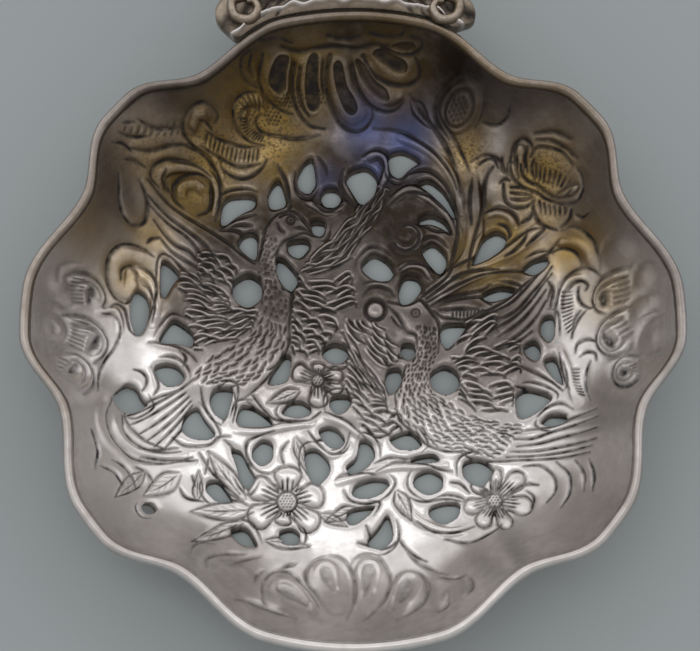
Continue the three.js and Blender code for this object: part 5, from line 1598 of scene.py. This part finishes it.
# How low the handle's surface lies, how much of the chasing shows, how deep and how far in its edge
# is rounded, and the least that it stands above the joint
HANDLE_LOW = 0.15
CHASED_SHARE = 0.9
HANDLE_ROUNDING = 0.2
HANDLE_ROUNDING_REACH = 0.15
HANDLE_LEAST = 0.15


def outside_rim(turn, distance):
    """Point outside the rim and square to it."""
    around = np.radians(np.array([turn, turn - 1, turn + 1]))
    radius = rim_radius(np.degrees(around))
    here, before, after = np.stack([radius * np.sin(around), radius * np.cos(around)], 1)
    return here + turned_left((after - before) / np.hypot(*(after - before))) * distance


def tip_turn(side):
    """Direction in which the shoulder's tip lies, in degrees from the handle."""
    reach = SHOULDER_HALF_WIDTH - 1.6 + side * HANDLE_OFFSET
    return side * math.degrees(math.asin(reach / RIM_END))


def shoulder_edge(side):
    """Edge of the shoulder from its tip by the rim to the neck, at the right (1) or the left (-1)."""
    outline = [
        (SHOULDER_HALF_WIDTH, RIM_END - 0.7),
        (SHOULDER_HALF_WIDTH - 0.6, RIM_END + 0.9),
        (SHOULDER_HALF_WIDTH - 2.6, RIM_END + 2.4),
        (NECK_HALF_WIDTH + 2.6, RIM_END + 3.6),
        (NECK_HALF_WIDTH + 0.6, RIM_END + 0.7 * SHOULDER_LENGTH),
        (NECK_HALF_WIDTH, SHOULDER_END),
    ]
    tip = outside_rim(tip_turn(side), CLEARANCE + SHOULDER_BEVEL)
    return smooth_line([tip] + [(HANDLE_OFFSET + side * across, along) for across, along in outline], 0.2)


def on_side(line, side):
    """A line or point drawn at the right of the handle's middle, moved to the side that is asked for."""
    return points_of(line) * [side, 1] + [HANDLE_OFFSET, 0]


def draw_both_sides(relief, lines, width, ends, leaves):
    """Chased lines and leaves that the two sides of the shoulder or the handle share."""
    for side in (1, -1):
        for line in lines:
            relief.groove(on_side(line, side), width, LINE_DEPTH, ends, 1.0)
        for base, tip, leaf_width in leaves:
            leaf(relief, on_side(base, side), on_side(tip, side), leaf_width)


def draw_shoulder(relief):
    """All the chasing of the shoulder."""
    draw_both_sides(relief, SHOULDER_LINES, 0.34, (0.6, 0.4), SHOULDER_LEAVES)
    for turn in PALMETTE_TURNS:
        base, tip = [SHOULDER_PALMETTE + heading(turn) * reach for reach in PALMETTE_REACH]
        leaf(relief, base, tip, PALMETTE_WIDTH, PALMETTE_HEIGHT, is_petal=True)


def make_shoulder():
    """Chased front of the shoulder, with the bead of solder and the recess along the rim."""
    relief = Relief((-14.5, 24.5), (13.0, 39.5))
    x, y = relief.x, relief.y
    turns = np.linspace(tip_turn(-1), tip_turn(1), 60)[1:-1]
    front = np.array([outside_rim(turn, CLEARANCE + SHOULDER_BEVEL - 0.2) for turn in turns])
    outline = np.vstack([shoulder_edge(1), shoulder_edge(-1)[::-1], front])
    solid = relief.inside(outline, WHOLE_GRID)[1] + SHOULDER_BEVEL
    draw_shoulder(relief)
    height = relief.chased() - SHOULDER_LOW
    height = height - SHOULDER_ROUNDING * near_edge(solid, SHOULDER_ROUNDING_REACH)
    gap = np.hypot(x, y) - rim_radius(np.degrees(np.arctan2(x, y)))
    wave = 0.12 * np.sin(1.9 * x) + 0.09 * np.sin(3.3 * x + 1)
    bead = bell(gap - SOLDER_PLACE - wave, BEAD_REACH)
    recess = bell(gap - SOLDER_PLACE - RECESS_DISTANCE - 2 * wave, RECESS_REACH)
    height = np.minimum(height + BEAD_HEIGHT * bead - RECESS_DEPTH * recess, SHOULDER_LIMIT)
    top = np.stack([x, y, SHOULDER_TOP + height], 2)
    bottom = np.stack([x, y, SHOULDER_UNDERSIDE + 0 * x], 2)
    # The bead of solder is kept free of tarnish and tint: a painted highlight along it
    relief.dark = np.maximum(relief.dark, recess) * (1 - bead)
    finish_and_shade = finish_of(relief, height, 0.25 * (1 - bead), 0, 0.62 * (1 - bead), 0.45)
    return plate("shoulder_chased", solid, top, bottom, finish_and_shade, plain_finish(x))


def plain_finish(x):
    """Finish of an underside that no tool has touched."""
    return finish_layers(0.1 + 0 * x, 0.2, 0, 0.4)


def point_at(line, share):
    """Point at a share of the length of a line, and the line's direction there."""
    reach = reach_along(line)
    mark = share * reach[-1]
    point = np.array([np.interp(mark, reach, line[:, k]) for k in (0, 1)])
    k = min(int(np.searchsorted(reach, mark)), len(line) - 1)
    tangent = line[max(k, 1)] - line[max(k, 1) - 1]
    return point, tangent / np.hypot(*tangent)


def scroll_line(side):
    """Middle line of one moulding, from the neck to the end of its volute."""
    edge = shoulder_edge(side)
    points = []
    for share in MOULDING_SHARES:
        point, tangent = point_at(edge, share)
        points.append(point + turned_left(tangent) * side * SCROLL_INSET)
    eye = np.array([SHOULDER_HALF_WIDTH - SCROLL_INSET - VOLUTE_RADIUS, RIM_END + 0.1])
    for turn, share in VOLUTE_TURNS:
        around = math.radians(turn)
        across = eye[0] + VOLUTE_RADIUS * share * math.cos(around)
        points.append((HANDLE_OFFSET + side * across, eye[1] + VOLUTE_RADIUS * share * math.sin(around)))
    return smooth_line(points, 0.1)


def make_scroll(name, side):
    """Half-round moulding down the shoulder's edge that closes in a volute, beaded by the neck."""
    line = scroll_line(side)
    tangents = np.gradient(line, axis=0)
    tangents /= np.linalg.norm(tangents, axis=1, keepdims=True)
    sine = np.sin(MOULDING_SECTION)
    rows = []
    finishes = []
    for k, (point, tangent) in enumerate(zip(line, tangents)):
        share = k / (len(line) - 1)
        full = min(1, 0.45 + 4 * share, 0.6 + 4 * (1 - share))
        bead = 0.5 + 0.5 * math.cos(share * 2 * math.pi * MOULDING_BEADS)
        beads = 1 - 0.12 * bead * (share < 0.5)
        across = SCROLL_WIDTH / 2 * full * np.cos(MOULDING_SECTION)
        rise = (SCROLL_HEIGHT + MOULDING_DEPTH) * full * beads * sine ** 0.8
        height = SHOULDER_TOP - MOULDING_DEPTH + rise
        rows.append(np.stack([point[0] - tangent[1] * across, point[1] + tangent[0] * across, height], 1))
        foot = np.clip(1 - 1.5 * sine, 0, 1)
        finishes.append(finish_layers(0.9 * foot, 0.3, 0, 0.75 - 0.3 * sine))
    return skin(name, rows, False, finishes)


def handle_half_width(share):
    """Half width of the handle at a share of its length."""
    line = smooth_line(np.array(HANDLE_WIDTHS) * [10, 1], 0.05)
    return np.interp(np.clip(share, 0, 1) * 10, line[:, 0], line[:, 1])


def handle_joint_height(share):
    """Height of the joint between the handle's two plates at a share of its length."""
    return SHOULDER_UNDERSIDE + HANDLE_RISE * ease(np.clip(share, 0, 1) * CLIMB_SHARE) / ease(CLIMB_SHARE)


def draw_handle(relief):
    """All the chasing of the handle."""
    draw_both_sides(relief, HANDLE_LINES, 0.36, (0.5, 0.5), HANDLE_LEAVES)
    leaf(relief, *MIDDLE_LEAF)
    tips = [HANDLE_FLOWER + PETAL_REACH * heading(turn) for turn in PETAL_TURNS]
    flower(relief, HANDLE_FLOWER, 1.0, [(x, y, PETAL_WIDTH) for x, y in tips])
    for turn in SHELL_TURNS:
        base = HANDLE_SHELL + heading(turn) * 1.0
        tip = HANDLE_SHELL + heading(turn) * (5.6 - abs(turn) * 0.03)
        leaf(relief, base, tip, SHELL_WIDTH, SHELL_HEIGHT, is_petal=True)
    relief.dome(circle(HANDLE_SHELL, 0.9), 0.4, 0.3)
    ring(relief, HANDLE_SHELL, 0.95, 0.26, 0.2)


def make_handle_front():
    """Chased and crowned front of the handle."""
    relief = Relief((-9.5, HANDLE_START - 1), (8.5, HANDLE_START + HANDLE_LENGTH + 1))
    x, y = relief.x, relief.y
    shares = np.linspace(0, 1, 160)
    along = HANDLE_START + HANDLE_LENGTH * shares
    right = np.stack([HANDLE_OFFSET + handle_half_width(shares), along], 1)
    left = right * [-1, 1] + [2 * HANDLE_OFFSET, 0]
    solid = relief.inside(np.vstack([right, left[::-1]]), WHOLE_GRID)[1]
    draw_handle(relief)
    border = bell(solid - LINE_PLACE, LINE_WIDTH)
    relief.groove_field = np.maximum(relief.groove_field, LINE_SUNK * border * (solid > 0))
    relief.dark = np.maximum(relief.dark, LINE_DARK * border)
    share = (y - HANDLE_START) / HANDLE_LENGTH
    swell = np.sqrt(np.clip(np.sin(np.pi * np.clip(share, 0, 1)), 0, 1))
    crown = HANDLE_CROWN * (0.55 + 0.45 * swell)
    across = np.clip(1 - ((x - HANDLE_OFFSET) / (handle_half_width(share) + 1e-6)) ** 2, 0, 1)
    ends = 1 - near_edge(solid, 0.5)
    chased = relief.chased(0.1)
    base = handle_joint_height(share)
    height = HANDLE_LIP + crown * across ** 0.4 * ends + chased * CHASED_SHARE - HANDLE_LOW
    height = np.minimum(height, HANDLE_LIP + crown)
    height = height - HANDLE_ROUNDING * near_edge(solid, HANDLE_ROUNDING_REACH)
    height = np.maximum(height, HANDLE_LEAST)
    top = np.stack([x, y, base + height], 2)
    bottom = np.stack([x, y, base], 2)
    finish_and_shade = finish_of(relief, chased, 0.2, 0, 0.42, 0.8)
    return plate("handle_chased_front", solid, top, bottom, finish_and_shade, plain_finish(x))


def back_section(half):
    """Closed outline across the back plate, flat above and below, as points across and up."""
    reach = half - SOFT_EDGE
    section = [(across, 0.0) for across in np.linspace(reach, -reach, 12)]
    section += [(-half, -SOFT_EDGE), (-half, SOFT_EDGE - HANDLE_PLATE)]
    section += [(across, -HANDLE_PLATE) for across in np.linspace(-reach, reach, 12)]
    return section + [(half, SOFT_EDGE - HANDLE_PLATE), (half, -SOFT_EDGE)]


def make_handle_back():
    """Flat back plate with a tongue under the shoulder and softened edges."""
    root = RIM_END + WIRE_WIDTH + CLEARANCE
    stations = [(root + (SHOULDER_END - root) * k / 12, SHOULDER_UNDERSIDE, TONGUE_HALF_WIDTH)
                for k in range(13)]
    for k in range(121):
        share = k / 120
        along = HANDLE_START + HANDLE_LENGTH * share
        stations.append((along, float(handle_joint_height(share)), float(handle_half_width(share))))
    rows = []
    finishes = []
    for along, height, half in stations:
        section = back_section(half)
        rows.append([(HANDLE_OFFSET + across, along, height + rise) for across, rise in section])
        finishes.append([(0.08 + 0.25 * (rise == 0.0), 0.2, 0.0, 0.45) for across, rise in section])
    return skin("handle_back_plate", rows, False, finishes)


# Materials

BRIGHT = (0.80, 0.775, 0.76, 1)
GREY = (0.34, 0.305, 0.285, 1)
BROWN = (0.040, 0.031, 0.024, 1)
GOLD = (0.47, 0.31, 0.085, 1)
BLUE = (0.08, 0.105, 0.24, 1)
# Colour of the patina in the low places and of the painted shade
PATINA_AND_SHADE = (0.022, 0.018, 0.016, 1)
FLOOR_TONES = ((0.35, 0.395, 0.405, 1), (0.39, 0.43, 0.44, 1))
ROOM_SIDES = ((0.50, 0.49, 0.48, 1), (1.0, 0.98, 0.98, 1))
ROOM_OVERHEAD = (0.58, 0.57, 0.57, 1)

# Scales of the silver's noises, for each metre
LARGE_PATCHES = 110.0
SMALL_PATCHES = 900.0
FINE_SPOTS = 3400.0
GRAIN = 4200.0
# Scales of the polishing streaks, away from the bowl's middle and round it
STREAKS_OUT = 2600.0
STREAKS_ROUND = 9.0
# Distances in metres at which the silver gets duller, from floor to wall, and at which spots start
WALL_FOOT = (0.0185, 0.0225)
SPOTS_START = (0.009, 0.014)


class Graph:
    """Shader nodes of a material or the world, added one at a time."""

    def __init__(self, owner):
        owner.use_nodes = True
        self.nodes = owner.node_tree.nodes
        self.links = owner.node_tree.links
        self.nodes.clear()

    def add(self, kind, inputs=(), **settings):
        """New node, with its settings, and its inputs as values or as outputs of other nodes."""
        node = self.nodes.new(kind)
        for key, value in settings.items():
            setattr(node, key, value)
        for key, value in dict(inputs).items():
            if isinstance(value, bpy.types.NodeSocket):
                self.links.new(value, node.inputs[key])
            else:
                node.inputs[key].default_value = value
        return node

    def coordinates(self, output="Object"):
        """Place in the object, or another of the coordinates."""
        return self.add("ShaderNodeTexCoord").outputs[output]

    def split(self, vector):
        """The three parts of a vector."""
        return self.add("ShaderNodeSeparateXYZ", {0: vector}).outputs

    def joined(self, *values):
        """Vector of up to three parts."""
        return self.add("ShaderNodeCombineXYZ", dict(enumerate(values))).outputs[0]

    def math(self, operation, a, b, clamp=False):
        """Result of a sum, kept from 0 to 1 if clamp is set."""
        return self.add("ShaderNodeMath", {0: a, 1: b}, operation=operation, use_clamp=clamp).outputs[0]

    def plus(self, a, b, clamp=False):
        """Two values added."""
        return self.math("ADD", a, b, clamp)

    def times(self, a, b, clamp=False):
        """Two values multiplied."""
        return self.math("MULTIPLY", a, b, clamp)

    def mix(self, share, a, b):
        """Colour that goes from one to another while the share goes from 0 to 1."""
        inputs = {0: share, 6: a, 7: b}
        return self.add("ShaderNodeMix", inputs, data_type="RGBA", clamp_factor=True).outputs[2]

    def noise(self, where, scale, detail=3.0, roughness=0.5):
        """Soft cloudy noise, about 0.5 on average."""
        inputs = {"Vector": where, "Scale": scale, "Detail": detail, "Roughness": roughness}
        return self.add("ShaderNodeTexNoise", inputs).outputs[0]

    def uneven(self, noise, strength):
        """Noise round zero."""
        return self.times(self.math("SUBTRACT", noise, 0.5), strength)

    def spread(self, value, low, high):
        """Value stretched so that low becomes 0 and high becomes 1."""
        return self.add("ShaderNodeMapRange", {0: value, 1: low, 2: high}, clamp=True).outputs[0]

    def shaded(self, **inputs):
        """End of a material: its surface, with inputs such as Base_Color."""
        named = {key.replace("_", " "): value for key, value in inputs.items()}
        shader = self.add("ShaderNodeBsdfPrincipled", named)
        self.add("ShaderNodeOutputMaterial", {"Surface": shader.outputs[0]})


def polishing_streaks(graph, where):
    """Streaks that run round the bowl, and the distance from its middle line."""
    x, y, _ = graph.split(where)
    plan = graph.joined(x, y)
    distance = graph.add("ShaderNodeVectorMath", {0: plan}, operation="LENGTH").outputs["Value"]
    unit = graph.add("ShaderNodeVectorMath", {0: plan}, operation="NORMALIZE").outputs[0]
    east, north, _ = graph.split(unit)
    ring_place = graph.joined(
        graph.times(distance, STREAKS_OUT),
        graph.times(east, STREAKS_ROUND),
        graph.times(north, STREAKS_ROUND),
    )
    return graph.noise(ring_place, 1.0, 4.0, 0.65), distance


def silver_colour(graph, large, small, warm, cool, tarnish_and_shade):
    """Bright silver that goes through grey to brown with tarnish and painted shade, with golden and bluish
    tints that are partly painted reflections.
    """
    darkening = graph.plus(graph.plus(tarnish_and_shade, graph.uneven(large, 0.5)), graph.uneven(small, 0.3))
    colour = graph.mix(graph.spread(darkening, 0.0, 0.5), BRIGHT, GREY)
    colour = graph.mix(graph.spread(darkening, 0.5, 1.0), colour, BROWN)
    golden = graph.times(warm, graph.plus(graph.times(small, 0.6), 0.5))
    colour = graph.mix(golden, colour, GOLD)
    return graph.mix(graph.times(cool, 0.75), colour, BLUE)


def dark_patina_and_shade(graph, where, small, dark, warm, tarnish_and_shade):
    """Tarnish in the low places with painted shade, a little patchy, and tarnish in small spots on the warm
    silver.
    """
    fine = graph.noise(where, FINE_SPOTS, 2.0, 0.6)
    spots = graph.times(graph.spread(fine, 0.48, 0.62), graph.times(warm, 0.75))
    spots = graph.times(spots, graph.spread(graph.split(where)[1], *SPOTS_START))
    patchy = graph.plus(graph.times(graph.spread(small, 0.3, 0.7), 0.7), 0.5)
    patchy = graph.times(patchy, graph.plus(graph.times(tarnish_and_shade, 0.1), 0.95))
    return graph.math("MAXIMUM", graph.times(dark, patchy, True), spots)


def silver_roughness(graph, gloss, small, distance, streaks, patina_and_shade):
    """Roughness: patchy, with the streaks, more on the bowl's wall and where patina and painted shade lie.
    """
    rough = graph.plus(graph.times(graph.spread(small, 0.3, 0.7), 0.1), gloss)
    rough = graph.plus(rough, graph.times(graph.spread(distance, *WALL_FOOT), 0.1))
    rough = graph.plus(rough, streaks)
    return graph.plus(rough, graph.times(patina_and_shade, 0.3), True)


def silver_material(name, gloss, streak_strength):
    """Silver with tarnish and painted shade, patches of warm and cool tint that are partly painted
    reflections, and polishing streaks.
    """
    material = bpy.data.materials.new(name)
    graph = Graph(material)
    where = graph.coordinates()
    finish_and_shade = graph.add("ShaderNodeAttribute", attribute_name="finish_and_shade")
    dark, warm, cool = graph.add("ShaderNodeSeparateColor", {0: finish_and_shade.outputs["Color"]}).outputs
    tarnish_and_shade = finish_and_shade.outputs["Alpha"]
    large = graph.noise(where, LARGE_PATCHES, 3.0)
    small = graph.noise(where, SMALL_PATCHES, 4.0, 0.6)
    grain = graph.noise(where, GRAIN, 2.0)
    streaks, distance = polishing_streaks(graph, where)
    patina_and_shade = dark_patina_and_shade(graph, where, small, dark, warm, tarnish_and_shade)
    colour = graph.mix(patina_and_shade, silver_colour(graph, large, small, warm, cool, tarnish_and_shade), PATINA_AND_SHADE)
    rough_streaks = graph.uneven(streaks, 0.3 * streak_strength)
    rough = silver_roughness(graph, gloss, small, distance, rough_streaks, patina_and_shade)
    metal = graph.math("SUBTRACT", 1.0, graph.times(patina_and_shade, 0.55))
    height = graph.plus(graph.times(streaks, streak_strength), graph.times(grain, 0.25))
    height = graph.plus(height, graph.times(small, 0.25))
    bump = graph.add("ShaderNodeBump", {"Strength": 0.35, "Distance": 0.00006, "Height": height})
    graph.shaded(Base_Color=colour, Metallic=metal, Roughness=rough, Normal=bump.outputs[0])
    return material


def floor_material():
    """Plain pale floor, very slightly cloudy."""
    material = bpy.data.materials.new("pale_floor")
    graph = Graph(material)
    cloudy = graph.noise(graph.coordinates(), 14.0, 2.0)
    graph.shaded(Base_Color=graph.mix(cloudy, *FLOOR_TONES), Roughness=0.8)
    return material


# Scene

# The camera looks from the far end of the bowl: its tilt from straight down in degrees, its distance
# from the bowl's edge in millimetres, its lens, and how far the picture is moved, in picture widths
CAMERA_TILT = 12
CAMERA_DISTANCE = 200.0
CAMERA_LENS = 114.9
CAMERA_SHIFT = (-3 / 700, -4.5 / 700)
# Half the width of the floor, and how far it lies under the bowl, in metres
FLOOR_HALF_WIDTH = 6.0
FLOOR_GAP = 0.00002


def link(name, data):
    """New object in the scene."""
    thing = bpy.data.objects.new(name, data)
    bpy.context.scene.collection.objects.link(thing)
    return thing


def make_camera():
    """Camera at the photograph's angle."""
    tilt = math.radians(CAMERA_TILT)
    data = bpy.data.cameras.new("camera")
    data.sensor_width = 36
    data.lens = CAMERA_LENS
    data.clip_start = 0.01
    data.clip_end = 20
    data.shift_x, data.shift_y = CAMERA_SHIFT
    camera = link("camera", data)
    back, up = CAMERA_DISTANCE * math.sin(tilt), CAMERA_DISTANCE * math.cos(tilt)
    camera.location = Vector((0, -back, BOWL_HEIGHT + up)) * MM
    camera.rotation_euler = (tilt, 0, 0)
    bpy.context.scene.camera = camera


def make_floor():
    """Wide plain floor just under the bowl."""
    mesh = bpy.data.meshes.new("floor")
    half = FLOOR_HALF_WIDTH
    corners = [(-half, -half, 0), (half, -half, 0), (half, half, 0), (-half, half, 0)]
    mesh.from_pydata(corners, [], [(0, 1, 2, 3)])
    mesh.materials.append(floor_material())
    floor = link("floor", mesh)
    floor.location.z = -FLOOR_GAP


def make_window():
    """Soft bright window over the bowl: its place and size in metres, and its power in watts."""
    data = bpy.data.lights.new("window", "AREA")
    data.shape = "RECTANGLE"
    data.size = 0.36
    data.size_y = 0.085
    data.energy = 0.16
    lamp = link("window", data)
    lamp.location = (-0.04, 0.04, 0.45)
    lamp.rotation_euler.z = math.radians(-17)


def make_world():
    """Soft pale room, lighter towards the handle and a little darker overhead."""
    world = bpy.data.worlds.new("room")
    graph = Graph(world)
    _, along, up = graph.split(graph.coordinates("Generated"))
    sides = graph.mix(graph.spread(along, -0.6, 0.4), *ROOM_SIDES)
    room = graph.mix(graph.spread(up, 0.7, 0.93), sides, ROOM_OVERHEAD)
    light = graph.add("ShaderNodeBackground", {0: room, 1: 1.0})
    graph.add("ShaderNodeOutputWorld", {0: light.outputs[0]})
    bpy.context.scene.world = world


def main():
    """Build the stage and the seven pieces, and hide the CAD model's parts that they stand for."""
    make_camera()
    make_floor()
    make_world()
    make_window()
    chased = silver_material("chased_silver", 0.24, 0.5)
    bright = silver_material("bright_silver", 0.2, 0.0)
    dark = silver_material("dark_silver", 0.28, 0.0)
    plain = silver_material("plain_silver", 0.26, 0.0)
    built = [
        (make_bowl(), "bowl", "silver", chased),
        (make_rim_wire(), "rim_wire", "bright_silver", bright),
        (make_shoulder(), "shoulder", "dark_silver", dark),
        (make_scroll("scroll_moulding_left", -1), "scroll_left", "dark_silver", dark),
        (make_scroll("scroll_moulding_right", 1), "scroll_right", "dark_silver", dark),
        (make_handle_back(), "handle_back", "silver", plain),
        (make_handle_front(), "handle_front", "silver", plain),
    ]
    for piece, node, slot, material in built:
        piece.data.materials.append(material)
        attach(piece, "root")
        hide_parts(node)
    bpy.context.scene.view_settings.view_transform = "Standard"


main()
